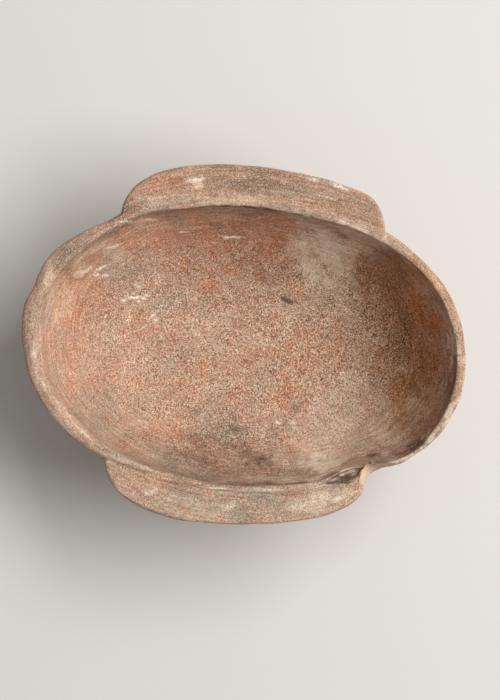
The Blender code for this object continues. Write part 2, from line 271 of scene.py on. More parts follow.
        (-14, -21, 7, 4, 0, 0.14), (46.5, 7, 3.5, 8, 0, 0.17), (-22, 38.5, 9, 3, 8, 0.26),
        (-2, 24, 5, 5, 0, 0.14), (6.7, -32.8, 8.3, 3, 4, 0.32), (-52, 20, 6, 4, 50, 0.26),
        (-51, 20, 6, 4, 45, 0.16), (-46.5, 13, 4, 6, 0, 0.13), (-28, -31, 8, 3, -20, 0.15),
        (-23, 21, 7, 3.5, 0, 0.2), (3.5, 23.7, 6.6, 3.6, -40, 0.22), (-10, -27, 7, 3, 0, 0.16),
        (-2, 51.6, 15, 1.4, 0, 0.5), (8, -33, 7, 3, 4, 0.22), (-38, 33.5, 6, 3, 30, 0.4),
        (-38, 34, 6, 3, 30, 0.25), (-14, -33, 6, 3, 0, 0.3), (-14, -27, 6, 3, 0, 0.14),
        (-8, -21, 6, 3, 0, 0.2), (8, -33.5, 6, 3, 4, 0.2), (17, 34, 5, 3.5, -10, 0.34),
        (46, 9, 3, 6, 0, 0.2), (55.5, -0.7, 3, 6, 4, 0.14), (-20, 40.5, 7, 2.4, 10, 0.2),
        (-45, 4, 4, 4, 0, 0.12), (-45, 14, 4, 4, 0, 0.16), (-9, 33, 6, 2.6, 0, 0.14),
        (-2, 26, 4, 4, 0, 0.2), (39, 31.2, 6.6, 2.4, -28, 0.3), (-17, 9, 5, 3, 0, 0.12),
        (-14, -33, 5, 3, 0, 0.2), (-13, -33, 5, 3, 0, 0.22), (9, -33, 5, 3, 0, 0.2),
        (17.5, -38.6, 10.1, 1.5, 8, 0.42), (-50, 26.5, 6, 2.4, 44, 0.24), (-31, 38.6, 7, 2, 16, 0.26),
        (-8, 33, 6, 2.4, 0, 0.2), (35, 27.5, 4, 3.5, -30, 0.24), (48.7, 6.6, 3, 4.8, 4, 0.2),
        (-56, 21, 4, 3, 50, 0.2), (-32, 9, 4, 3, 0, 0.22), (22, -3, 5, 2.5, 0, 0.12),
        (35, 27, 4, 3, -30, 0.2), (52, -9, 3, 4, 0, 0.2), (-0.7, 39.6, 10.1, 1.1, 0, 0.5),
        (53, -26.5, 5, 2.2, 45, 0.5), (-24, 39, 6, 1.6, 8, 0.22), (16, 33, 4, 2.4, 0, 0.2),
        (17, 33, 4, 2.4, 0, 0.2), (52, -27, 5, 2, 40, 0.28), (-53.9, 21.3, 7.2, 1.2, 46, 0.34),
        (1.1, -30.4, 7.8, 1.2, 0, 0.3), (16, -15, 3, 3, 0, 0.25), (16, -15, 3, 3, 0, 0.2),
        (42.8, -7.5, 4.2, 2.1, 24, 0.24), (52, -4, 3, 3, 0, 0.1), (54, -25.5, 5, 1.8, 48, 0.4),
        (60.6, 4.8, 7.8, 1.2, -78, 0.56), (61.4, -8.3, 7.2, 1.2, 88, 0.6), (-49.2, 10.6, 3, 2.7, 4, 0.22),
        (-16, 49.3, 8, 1, 18, 0.4), (58.5, -19.4, 6.6, 1.2, 62, 0.42), (-24, 39.4, 6, 1.2, 8, 0.25),
        (5, -40.7, 13.1, 0.5, 4, 0.62), (52, -27, 4, 1.8, 40, 0.35), (-38, 39, 4, 1.6, 30, 0.3),
        (10, 38.9, 9, 0.7, -8, 0.5), (30, 34.2, 8, 0.7, -20, 0.45), (43.9, 24.7, 3.6, 1.8, 4, 0.22),
        (51.3, -28.1, 6.6, 0.9, 42, 0.34), (56.9, 15.4, 6.6, 0.9, -58, 0.25), (58, -20, 4, 1.4, 60, 0.4),
        (-47.9, 4.4, 3.6, 1.5, 54, 0.24), (-10.9, 35.1, 3.9, 1.2, 0, 0.42), (-9.6, 39, 4.2, 1.2, 8, 0.35),
        (20, 37, 8, 0.6, -11, 0.5), (52.7, -9, 2.4, 2.1, 4, 0.24), (-38.8, 16.3, 3, 1.2, 24, 0.22),
        (-18.4, 37.7, 7.2, 0.6, 6, 0.22), (20.9, -38.8, 7.8, 0.5, 8, 0.62), (35.5, 13.4, 2.4, 1.8, 4, 0.2),
        (-25.9, -36.1, 4.8, 0.6, -16, 0.26), (-24, -37.9, 5.4, 0.6, -14, 0.62),
        (-19.6, -14.3, 2.4, 1.2, 24, 0.3), (9.7, -8, 2.1, 1.2, 44, 0.46), (19.5, -37.3, 3, 0.9, 4, 0.3),
        (30.8, -37.9, 5.6, 0.5, 10, 0.9), (33.4, -35.9, 3.6, 0.9, 24, 0.9),
        (40.8, -30.2, 2.4, 1.2, 12, 0.76), (-59.6, 8.6, 3, 0.5, 80, 0.3), (-58.2, 11.1, 2.7, 0.6, 64, 0.26),
        (-51.6, 15.3, 2.7, 0.6, 34, 0.3), (-15, -39.9, 4.8, 0.4, -8, 0.36), (10.4, 20.9, 1.5, 1.2, 4, 0.5),
        (12.5, 14.4, 2.4, 1, 4, 1), (18.7, 16.1, 1.8, 0.9, -26, 0.34), (26.5, 39.9, 4.2, 0.4, -18, 0.35),
        (29.5, -36.6, 3, 0.6, 18, 0.5), (32.6, -37.2, 4.8, 0.5, 17, 0.6), (47.3, -28.4, 3.6, 0.5, 16, 0.3),
        (-51.2, -1.6, 1.5, 0.9, 94, 0.25), (-26.5, 11.6, 0.9, 0.6, 4, 0.3), (-18.2, 27.9, 0.9, 0.6, 4, 0.6),
        (4.9, -8.7, 1.2, 0.9, 4, 0.3), (10, 24, 1.2, 0.6, -30, 0.7), (10.6, 15, 1.4, 0.9, 20, 0.95),
        (13.8, -40.8, 0.9, 0.6, 4, 0.3), (14, 22, 1.2, 0.5, 20, 0.7), (19, -16, 1.2, 0.6, 60, 0.7),
        (21, 13, 1.2, 0.5, -20, 0.7), (35.2, 43.5, 1.5, 0.9, -26, 0.34), (36, -34.2, 2.4, 0.6, 28, 0.8),
        (-46, -2, 0.5, 0.4, 0, 0.6), (-35.4, 12.3, 0.5, 0.35, 0, 0.8), (-32.2, 44, 0.6, 0.4, 4, 0.4),
        (-32, 11.1, 0.5, 0.4, 0, 0.9), (-25.6, 12.8, 0.5, 0.4, 0, 0.7), (-24.4, 16.1, 0.6, 0.6, 4, 0.75),
        (-21.4, 44.3, 0.5, 0.5, 4, 0.8), (-20, 26, 0.5, 0.4, 0, 0.8), (-8.8, 12.4, 0.7, 0.26, 45, 0.45),
        (-7.4, 13.2, 1.1, 0.28, 0, 0.6), (-6.1, 12.6, 0.7, 0.28, -45, 0.6), (-5.9, 11.5, 0.28, 0.8, 0, 0.6),
        (-3, 6, 0.5, 0.4, 0, 0.7), (6, 8, 0.5, 0.4, 0, 0.7), (17, 24, 0.9, 0.5, 0, 0.7),
        (17, -19, 0.8, 0.5, 0, 0.6), (18.5, 10, 1, 0.5, 30, 0.8), (24, 7, 0.7, 0.5, 0, 0.7),
    ),
    # The dust rows about (22, 28) and (25, -33) are partly painted light: they brighten walls that the lamp
    # leaves in shade. The rest is pale worn clay
    "dust_and_painted_light": (
        (29, -6, 22, 14, 94, 0.2), (22, 28.5, 12, 10.5, -30, 0.5), (31, 8, 9, 10, 0, 0.1),
        (-13, 5, 14, 6, 10, 0.12), (27, -22, 12, 6, 10, 0.28), (27.5, 19, 8, 8.5, -20, 0.42),
        (23.5, 27, 7.5, 7, -30, 0.5), (23.7, -25.6, 8.9, 5.4, 4, 0.26), (20, -33, 9, 5, 4, 0.3),
        (-57, 0, 3, 14, 0, 0.12), (-10, -49, 14, 3, -4, 0.2), (25, -33, 9.5, 4.4, 8, 0.85),
        (26, -24, 7, 6, 0, 0.22), (24.9, -16.2, 9.5, 4.2, -16, 0.14), (32, 33, 10, 4, -28, 0.3),
        (34, 10, 5, 8, 0, 0.14), (-33.7, -11.7, 7.8, 4.8, 4, 0.16), (35, -9, 4, 9, 0, 0.34),
        (34.5, -27.5, 8.9, 3.9, 10, 0.3), (20, 15, 8, 4, 0, 0.25), (30, 32.5, 8, 4, -25, 0.5),
        (-56, 8, 3, 10, 10, 0.2), (-38, 25, 6, 5, 30, 0.25), (34, -14, 5, 6, 0, 0.3),
        (43, -20, 6, 5, 40, 0.36), (56, 6, 5, 6, 0, 0.12), (20, 15, 7, 4, 0, 0.15), (30, 14, 7, 4, 0, 0.15),
        (25, -45.5, 9, 3, 10, 0.25), (-6.8, 42.3, 16.7, 1.5, 4, 0.2), (21, -45.5, 8, 3, 8, 0.3),
        (23.4, -43.6, 10.1, 2.4, 12, 0.5), (25, -31.5, 6, 4, 8, 0.4), (22.3, 9.4, 6, 3.6, 4, 0.26),
        (23, 28.5, 5, 4.5, -20, 0.5), (24.5, 45.9, 11.9, 1.8, -14, 0.05), (5.4, 0.5, 6.6, 3, 4, 0.2),
        (10, 12, 5, 4, 0, 0.25), (45, -22, 5, 4, 0, 0.2), (48, -3, 5, 4, 0, 0.2), (29, -11, 6, 3, 0, 0.15),
        (-22.6, 41, 7.5, 2.1, 6, 0.26), (29, 15, 4, 4, 0, 0.3), (33.5, 34, 6, 2.6, -28, 0.4),
        (40, 3, 4, 4, 0, 0.2), (46, -25, 4, 4, 30, 0.35), (-50, -26.5, 5, 3, -45, 0.25),
        (-32, -45, 5, 3, -25, 0.2), (13, 38.5, 9, 1.7, -7, 0.3), (18, -38.6, 9, 1.6, 6, 0.4),
        (22, 27.5, 4, 3.5, 0, 0.3), (58, -9, 2.6, 5, 0, 0.2), (63, 3, 1.8, 7, 0, 0.55),
        (-56, 14, 3, 4, 20, 0.3), (-54, -24, 5, 2.4, -50, 0.25), (-39.6, 42.3, 6.6, 1.8, 44, 0.1),
        (17, -27, 4, 3, 0, 0.35), (27, -39, 6, 2, 10, 0.3), (28, -33, 4, 3, 0, 0.25),
        (52, 21, 4, 3, 0, 0.25), (53, -15, 3, 4, 0, 0.4), (58.5, 12, 6, 2, -66, 0.3),
        (10, 44.8, 7.2, 1.5, -4, 0.24), (-31, 33, 5, 2, 10, 0.3), (21.7, 34.9, 4.8, 2.1, -4, 0.46),
        (28.5, -33.5, 4, 2.6, 10, 0.4), (35.2, 16.4, 4.2, 2.4, 4, 0.22), (63, 2, 1.6, 6, 0, 0.3),
        (-50, 21, 3, 3, 0, 0.25), (27.1, -13.9, 4.8, 1.8, 4, 0.3), (-54.5, -26, 4, 2, -50, 0.3),
        (-30.7, 40.1, 4.8, 1.5, 4, 0.22), (-22, -39.2, 6, 1.2, -10, 0.3), (8, -39, 6, 1.2, 4, 0.35),
        (33, -40.5, 4, 1.6, 20, 0.35), (-18.6, 46.6, 3.3, 1.5, -46, 0.8), (-7.9, -12.8, 3, 1.8, 4, 0.22),
        (61.6, -14.8, 6, 0.9, 68, 0.5), (3.8, -6.7, 2.4, 1.8, 4, 0.3), (45, -31.4, 5, 0.9, 25, 0.5),
        (47.1, -2.6, 2.4, 1.5, 84, 0.36), (51.7, -27.8, 5, 0.9, 40, 0.5), (56.8, -21.7, 5, 0.9, 53, 0.5),
        (-28.3, 6.6, 1.8, 1.5, 64, 0.5),
    ),
    # The first two lime rows are painted light on the same walls as the dust's; the rest are white specks
    # and scratches
    "lime_and_painted_light": (
        (23, 29, 9, 7, -26, 0.42), (25, -33, 8, 3.6, 8, 0.32), (-57.6, 8.8, 6, 1, 80, 0.16),
        (-59.1, 2.2, 7.8, 0.7, 88, 0.2), (8.6, -42.1, 7.8, 0.6, 4, 0.34), (43.5, 29.9, 7.8, 0.7, -34, 0.2),
        (61.6, -14.8, 6, 0.9, 68, 0.28), (-44.3, 25.7, 3.9, 0.9, 40, 0.36), (45, -31.4, 5, 0.9, 25, 0.28),
        (51.7, -27.8, 5, 0.9, 40, 0.28), (56.8, -21.7, 5, 0.9, 53, 0.28), (-60.8, -6.8, 3.6, 0.8, 92, 0.5),
        (-51, -22.6, 4.6, 0.7, -50, 0.3), (-49.5, 17.9, 3.3, 0.9, 42, 0.42),
        (-48.7, 23.2, 4.2, 0.6, 46, 0.34), (-43.6, -30.2, 4, 0.7, -38, 0.26),
        (-34.1, -35.8, 4.2, 0.6, -26, 0.36), (-17.8, 47.6, 2.1, 1.2, -16, 0.5),
        (24.6, 48.2, 3.3, 0.9, -16, 0.62), (31, -34.3, 6.6, 0.45, 22, 0.45),
        (-59.4, -12.6, 2.7, 0.7, -76, 0.32), (-44.5, 19.2, 3, 0.5, 28, 0.6), (-42, 25.7, 2.7, 0.6, 40, 0.4),
        (-24, -44.7, 2.1, 0.9, 4, 0.42), (-5.5, -42.4, 5.1, 0.3, 0, 0.6), (-0.7, -46.7, 2.7, 0.9, 40, 0.5),
        (16.3, 49.9, 2.7, 0.6, -8, 0.72), (43.9, -29, 2.1, 0.9, 24, 0.36), (58.6, -2.8, 1.8, 0.9, 84, 0.25),
        (59.8, -8, 2.7, 0.9, 84, 0.18), (63.1, 2.9, 2.7, 0.8, 92, 0.42), (-57.4, -16, 2.4, 0.5, -64, 0.46),
        (-45.8, 17.4, 1.2, 0.6, 4, 0.65), (-43, 17.4, 1.6, 0.5, 20, 0.7), (-40.5, 26.5, 2, 0.4, 30, 0.8),
        (-37.5, 10.7, 1.2, 0.6, 4, 0.55), (-37, 33.2, 2.6, 0.35, 12, 0.7), (-33.9, 11.9, 1.6, 0.58, 14, 1),
        (-33.4, 15.6, 1.5, 0.9, 4, 0.5), (-31.3, 2.8, 1.5, 0.4, 40, 0.8), (-31.2, 12.3, 0.96, 0.58, -20, 1),
        (-31.2, 34.6, 2.6, 0.35, 8, 0.75), (-28.5, 6.9, 1.04, 0.5, 30, 0.95),
        (-20.9, 32.3, 1.92, 0.32, 8, 0.95), (-7.6, 31.9, 1.28, 0.43, 4, 0.95),
        (-6.2, 32.2, 4, 0.3, 2, 0.95), (11.8, -22.8, 1, 0.6, 4, 0.8), (16.3, -22.3, 1.04, 0.65, 4, 1),
        (20.2, 45, 3.6, 0.3, -12, 0.7), (30.3, -42.7, 1.5, 0.9, 4, 0.66), (-42, 3, 0.5, 0.3, 0, 0.7),
        (-36.9, 10.6, 0.5, 0.4, 0, 1), (-35.6, 11.8, 0.8, 0.58, 0, 1), (-34.8, 13, 0.5, 0.4, 0, 1),
        (-32.9, 10.9, 0.64, 0.43, 0, 1), (-32.4, 12.6, 0.4, 0.3, 0, 0.9), (-30.2, 13.2, 0.4, 0.4, 0, 1),
        (-28.8, 29.6, 0.9, 0.5, 4, 0.55), (-27.6, 5.6, 0.56, 0.36, 0, 0.9), (-27, 8.3, 0.4, 0.4, 0, 0.9),
        (-20.5, 1, 0.4, 0.3, 0, 0.7), (-17, 18, 0.4, 0.3, 0, 0.7), (-14, 2, 0.4, 0.4, 0, 0.8),
        (-11.2, 29.9, 0.9, 0.3, 4, 0.4), (-4, 26, 0.5, 0.3, 0, 0.7), (2.7, 3, 0.4, 0.3, 0, 0.8),
        (8, -10, 0.5, 0.3, 0, 0.8), (22, -8, 0.4, 0.4, 0, 0.8),
    ),
}

# A stain fades between these shares of its size. Warps push its edge about, in X and in Y: (wave, how far
# for each mm of its half width, which counts up to the widest push, in mm)
STAIN_FADE = (0.35, 1.25)
WIDEST_PUSH = 5.0
STAIN_WARPS = ((11.0 * MM, 0.34), (3.2 * MM, 0.22))
WARP_SEEDS = (21, 31)

# What each kind of stain is everywhere else: mean and swing on the inside, then on the outside and below.
# On the lip the swing is calmer, and its worn edge is dusty
BACKGROUNDS = {
    "pink": (0.12, 0.1, 0.3, 0.22),
    "rust": (0.17, 0.1, 0.15, 0.13),
    "ochre_and_warm_shade": (0.0, 0.0, 0.06, 0.05),
    "ash": (0.09, 0.08, 0.2, 0.16),
    "soot_and_shade": (0.02, 0.02, 0.16, 0.14),
    "dust_and_painted_light": (0.04, 0.03, 0.1, 0.1),
    "lime_and_painted_light": (0.0, 0.0, 0.02, 0.02),
}
BACKGROUND_WAVE = 13.0 * MM
BACKGROUND_SEED = 41
CALM_RIM = 0.7
CALM_RIM_START = (0.97, 1.01)
WORN_EDGE_DUST = 0.06

# Dark and pale lines along the rim: (kind, direction, spread in degrees, mm out from the lip's
# inner edge, half width in mm, strength). Some are dirt and pale film, and some are painted light and shade,
# as noted. Ripples break them, from none to whole between two values
RIM_LINES = (
    # These two darken the lip's inner edge on the far side
    ("soot_and_shade", 92.0, 42.0, -0.6, 1.4, 0.9),
    ("soot_and_shade", 82.0, 34.0, 0.5, 0.45, 0.95),
    ("pink", 98.0, 34.0, -8.0, 4.0, 0.7),
    # Painted light: this pale line lifts the far wall below the rim, which turns away from the lamp
    ("dust_and_painted_light", 98.0, 34.0, -7.0, 3.0, 0.25),
    # These two are painted shade, with dirt, in the broken lip's trough and along its step down to the ear
    ("soot_and_shade", -47.0, 6.0, 1.4, 0.7, 0.72),
    ("soot_and_shade", -47.5, 6.0, 3.4, 0.5, 0.72),
    # Painted shade: a dark band under the right lip, where the wall turns away from the lamp
    ("soot_and_shade", 0.0, 40.0, -2.0, 4.0, 0.5),
    # This one darkens a line on the near side's lip, just out from its inner edge
    ("soot_and_shade", -95.0, 34.0, 0.9, 0.35, 0.6),
    ("ash", 60.0, 22.0, 1.6, 1.0, 0.5),
    ("ash", 180.0, 28.0, -1.6, 0.7, 0.4),
    ("pink", 176.0, 24.0, -3.4, 1.1, 0.8),
    ("dust_and_painted_light", 180.0, 30.0, -0.4, 0.6, 0.3),
    ("soot_and_shade", 176.0, 24.0, 0.6, 0.5, 0.3),
    ("dust_and_painted_light", 112.0, 22.0, 1.4, 0.9, 0.3),
    ("dust_and_painted_light", 30.0, 16.0, 1.6, 0.9, 0.3),
)
RIM_LINE_WAVE = 3.4 * MM
RIM_LINE_BREAKS = (-1.6, 0.6)
RIM_LINE_SEED = 51

# Dirt and painted shade in the grooves and the broken lip's step and trough, and the depth from which it is
# all there
GROOVE_DIRT_AND_SHADE = 0.55
GROOVE_DARKENING_DEPTH = 0.35 * MM

# How sandy the surface is: on the floor, on the walls, and on the lip, ears and outside, and where one runs
# into the next. The floor's right side is sandier, as a row like a stain's, up to a share of the way out
SANDINESS = (1.0, 0.66, 0.6)
FLOOR_EDGE = (0.86, 0.66)
LIP_EDGE = (0.98, 1.0)
SANDY_RIGHT = (24.0, 4.0, 30.0, 24.0, 0, 0.35)
SANDY_RIGHT_END = 0.9

# Soot, with the shade painted in it, is a crust from the first strength to the second. Crust and lime hide
# that much of the sand and dust
DARK_CRUST = (0.55, 0.9)
BARE_CRUST = 0.9

# Streaks left by wiping: where on the walls they start, how many noise sizes the rim's radius is, and the
# height of one noise size
STREAKS_START = (0.62, 0.86)
STREAKS_ROUND = 6.0
STREAK_PITCH = 0.7 * MM

# Noises of the clay: (size in metres, detail). Wiping is read on the streak coordinates, which have none.
# Each is stretched so that its swing either side of the middle becomes -1 to 1, and some follow a mark
PATTERNS = {
    "patch": (3.4 * MM, 1.0),
    "blotch": (3.8 * MM, 2.0),
    "mottle": (2.2 * MM, 2.0),
    "clump": (0.75 * MM, 1.0),
    "wiping": (1.0, 1.0),
}
PATTERN_MARKS = {"patch": "patchy", "blotch": "patchy", "wiping": "streaky"}
NOISE_SWING = 0.2

# How much of the patches was wiped away where the streaks are
WIPED_PATCHES = 0.65

# Grains the size of fine sand, each with its own brightness, stretched in the same way
GRAIN_SIZE = 0.20 * MM
GRAIN_SWING = 0.3

# The stains from the lowest to the top: (kind, the noise that breaks it up, how much)
LAYERS = (
    ("pink", "patch", 0.9),
    ("rust", "patch", 1.7),
    ("ash", "blotch", 0.9),
    ("ochre_and_warm_shade", "patch", 0.2),
    ("soot_and_shade", "mottle", 0.3),
    ("dust_and_painted_light", "mottle", 0.25),
    ("lime_and_painted_light", "clump", 1.0),
)

# How patchy the sand is, how strong its bright grains show as pale specks and its dark ones as pits, and how
# far streaks and clouds change the clay's brightness
SAND_PATCHES = 0.35
SPECKS = (("quartz", 0.61), ("pit", -0.76))
TONES = (("wiping", 0.2), ("blotch", 0.06))

# Clay without a glaze scatters light evenly, and so does paper
CLAY_ROUGHNESS = 0.92
CLAY_SPECULAR = 0.25
PAPER_ROUGHNESS = 0.9

# Camera: the sensor's larger side in mm, and the nearest that it sees
SENSOR_SIDE = 36.0
CLIP_START = 50 * MM

# Fineness: columns round the cup, rows of each stretch, how much of the hollow the square grid takes,
# points of each dense line, and points of the tables that curves are read from
COLUMNS = 544
HOLLOW_ROWS = 56
LIP_ROWS = 15
OUTER_ROWS = 77
MIDDLE_SHARE = 0.70
DENSE = {"lip": 36, "ear": 56, "edge": 40, "below": 36, "wall": 150, "foot": 16, "underside": 50}
RIM_TABLE = 2001
EAR_TABLE = 721
TAIL_TABLE = 12
WALL_TABLE = 400

# Ripples: how many plane waves they have, and how these waves' lengths vary
WAVES = 40
WAVE_LENGTHS = (0.7, 1.6)

# How close the rows lie on each dense line, how the wall's points are spread, and how worn its edges are
ROW_WEIGHTS = dict(lip=1, ear=1.25, edge=1.7, below=0.6, wall=0.55, foot=1.6, underside=0.15)
WALL_SPREAD = 0.8
LIP_WEAR_POWER = 0.7
EAR_WEAR_POWER = 2
EAR_WEAR_START = 0.3
FOOT_WEAR = 0.8
FOOT_WEAR_ROWS = 4


def linear(hex_colour):
    """An sRGB hex colour as linear red, green and blue."""
    parts = [int(hex_colour[i : i + 2], 16) / 255 for i in (1, 3, 5)]
    return tuple(c / 12.92 if c <= 0.04045 else ((c + 0.055) / 1.055) ** 2.4 for c in parts)


def length(name, description, millimetres):
    """A length's property, from its default in millimetres."""
    return bpy.props.FloatProperty(
        name=name, description=description, default=millimetres * MM, unit="LENGTH", precision=4
    )


def rotation(name, description, degrees):
    """An angle's property, from its default in degrees."""
    return bpy.props.FloatProperty(
        name=name, description=description, default=np.radians(degrees), subtype="ANGLE", unit="ROTATION"
    )


def colour(name, description, hex_colour):
    """A colour's property, from its default as an sRGB hex colour."""
    return bpy.props.FloatVectorProperty(
        name=name, description=description, default=linear(hex_colour), subtype="COLOR", min=0, max=1
    )


class CupForm(bpy.types.PropertyGroup):
    """Sizes of the cup, the same as the packed solid's."""

    bowl_length: length("Bowl length", "Over the outside of the wall at the rim", 128.9)
    bowl_width: length("Bowl width", "Over the outside of the wall at the rim, between the ears", 87.0)
    side_height: length("Side height", "Height of the lip between the ears", 37.5)
    end_rise: length("End rise", "How much higher the lip is at both ends", 3.5)
    lip_width: length("Lip width", "Width of the lip's top", 2.8)
    worn_lip_extra: length("Worn lip extra", "How much broader the lip is at its worn end", 2.8)
    floor_thickness: length("Floor thickness", "Clay between the foot and the hollow", 4.2)
    foot_length: length("Foot length", "Length of the low oval foot", 64.0)
    foot_width: length("Foot width", "Width of the low oval foot", 37.0)
    foot_height: length("Foot height", "Height of the low oval foot", 2.4)
    ear_length: length("Ear length", "Length of each ear along the bowl", 77.8)
    ear_reach: length("Ear reach", "How far each ear stands out past the bowl", 9.0)
    ear_root: length("Ear root", "Thickness of an ear where it leaves the wall", 5.2)
    ear_edge: length("Ear edge", "Thickness of an ear at its outer edge", 3.8)


class CupRelief(bpy.types.PropertyGroup):
    """Depths of the surface's unevenness."""

    unevenness: length("Unevenness", "Broad hollows and swells left by the hands", 0.14)
    wiping: length("Wiping marks", "Fine ridges along the rim, from wiping the wet clay", 0.035)
    grit: length("Grit", "Sandy roughness of the floor", 0.007)
    fracture: length("Fracture", "Roughness of the broken clay", 0.16)
    grain: length("Grain", "Depth of the sand grains, drawn by the material", 0.03)


class ClayColours(bpy.types.PropertyGroup):
    """Colours of the fired clay and of what lies on it."""

    tan: colour("Tan clay", "The clay where it is cleanest", "#B5937C")
    # Ochre is partly painted warm shade, the colour of bounced light on the shaded right end, and partly
    # brown soil stain
    ochre_and_warm_shade: colour("Ochre", "Brown soil stain in the shaded end", "#B4681A")
    pink: colour("Pink clay", "The clay where it is fired redder", "#C18264")
    rust: colour("Rust", "Orange and red iron stains", "#BC6A47")
    # Soot is also painted shade: under the right lip, on the right end's wall, and in the grooves and the
    # broken lip's trough
    soot_and_shade: colour("Soot", "Dark brown and black soil and smoke stains", "#4B3A2D")
    ash: colour("Ash", "Thin grey burial film", "#8A8172")
    # Dust is also painted light on walls that the lamp leaves in shade: at the right and below the far rim
    dust_and_painted_light: colour("Dust", "Pale worn clay", "#EED4BA")
    # Lime is also painted light in two broad patches on the right walls
    lime_and_painted_light: colour("Lime", "White specks and scratches", "#F4E6D2")
    quartz: colour("Quartz", "The pale grains of sand in the clay", "#FFE2C2")
    pit: colour("Pits", "The dark gaps that lost grains left", "#5C260E")
    fresh: colour("Fresh break", "Clean clay where a chip is missing", "#DCBC98")


class Studio(bpy.types.PropertyGroup):
    """Light, floor and camera."""

    floor_colour: colour("Floor colour", "Colour of the pale floor", "#DAD7D2")
    floor_side: length("Floor side", "Length of the square floor's sides", 6000.0)
    lamp_power: bpy.props.FloatProperty(
        name="Lamp power", description="Power of the soft lamp", default=21.0, unit="POWER"
    )
    lamp_width: length("Lamp width", "Width of the soft lamp's light area, across its length", 500.0)
    lamp_length: length("Lamp length", "Length of the soft lamp's light area, level with the floor", 1500.0)
    lamp_distance: length("Lamp distance", "How far the lamp is from the foot's middle", 1300.0)
    lamp_azimuth: rotation("Lamp azimuth", "Where the light comes from, from +X towards +Y", 21.0)
    lamp_elevation: rotation("Lamp elevation", "How high the lamp stands over the floor", 49.3)
    sky_strength: bpy.props.FloatProperty(
        name="Sky strength", description="Strength of the even light from all round", default=0.30
    )
    camera_height: length("Camera height", "How far the camera is above the rim", 750.0)
    camera_x: length("Camera X", "Where the camera is along the bowl", 1.863)
    camera_y: length("Camera Y", "Where the camera is across the bowl", -1.319)
    camera_turn: rotation("Camera turn", "How far the camera is turned about its view", 4.5)
    view_height: length("View height", "Height of what the photograph's frame shows, at the rim", 204.6)


def oval(direction, size, width):
    """Superellipse: (|cos| / half size)^power + (|sin| / half width)^power, all to the power -1 / power."""
    along = np.abs(np.cos(direction)) / (size / 2)
    across = np.abs(np.sin(direction)) / (width / 2)
    return (along**OVAL_POWER + across**OVAL_POWER) ** (-1 / OVAL_POWER)


def bell(direction, middle, spread):
    """exp(-(degrees from the middle / spread)^2)."""
    off = (np.degrees(direction) - middle + 180) % 360 - 180
    return np.exp(-((off / spread) ** 2))


def bells(direction, lumps):
    """The sum of each lump's share times its bell curve."""
    return sum(share * bell(direction, middle, spread) for middle, spread, share in lumps)


def smooth_step(value, low, high):
    """0 before low, 1 past high, and 3 t^2 - 2 t^3 between them. It falls where low is the larger."""
    t = np.clip((value - low) / (high - low), 0, 1)
    return t * t * (3 - 2 * t)


def hump(distance, spread):
    """exp(-(distance / spread)^2)."""
    return np.exp(-((distance / spread) ** 2))


def together(first, second):
    """Two shares that each hide what is below them: 1 - (1 - first) x (1 - second)."""
    return 1 - (1 - first) * (1 - second)


def ripples(points, wavelength, seed):
    """Random relief with a spread of 1: a sum of plane waves in random directions, near that wavelength."""
    rng = np.random.default_rng(seed)
    way = rng.normal(size=(WAVES, 3))
    way /= np.linalg.norm(way, axis=1)[:, None]
    pitch = 2 * np.pi / (wavelength * rng.uniform(*WAVE_LENGTHS, WAVES))
    phase = rng.uniform(0, 2 * np.pi, WAVES)
    return np.cos(points @ (way * pitch[:, None]).T + phase).sum(axis=1) * np.sqrt(2 / WAVES)


def wall_edge(direction, form):
    """Outside of the wall at the rim: the bowl's oval plus the rim's swells."""
    swell = SWELL_HEIGHT * bells(direction, RIM_SWELLS)
    return oval(direction, form.bowl_length, form.bowl_width) + swell


def lip_outer(direction, form):
    """The lip's outer edge: the wall's outside plus the lip's dents."""
    return wall_edge(direction, form) + DENT_HEIGHT * bells(direction, RIM_DENTS)


def worn(direction):
    """1 at the worn -X end, dying away quickly round the rim: ((1 - cos) / 2)^power."""
    return ((1 - np.cos(direction)) / 2) ** WORN_LIP_POWER


def lip_inner(direction, form):
    """The lip's inner edge: the wall's outside less the lip's width, plus what it lost where it is thin."""
    width = form.lip_width + form.worn_lip_extra * worn(direction)
    return wall_edge(direction, form) - width + LIP_THINNING * bells(direction, LIP_THIN_PLACES)


def inner_drop(direction):
    """How far the lip's inner edge is below its crest: more where the rim is worn round."""
    return LIP_INNER_DROP + WORN_INNER_DROP * worn(direction)


def crest(direction, form):
    """Height of the lip's crest: side height + end rise x |cos|^power."""
    return form.side_height + form.end_rise * np.abs(np.cos(direction)) ** END_RISE_POWER


def rim_y(x, side, form):
    """How far out the wall's outside at the rim lies at x, read from a fine table of rim points."""
    turn = np.linspace(0, np.pi, RIM_TABLE)
    radius = wall_edge(side * turn, form)
    return np.interp(-x, -radius * np.cos(turn), radius * np.sin(turn))


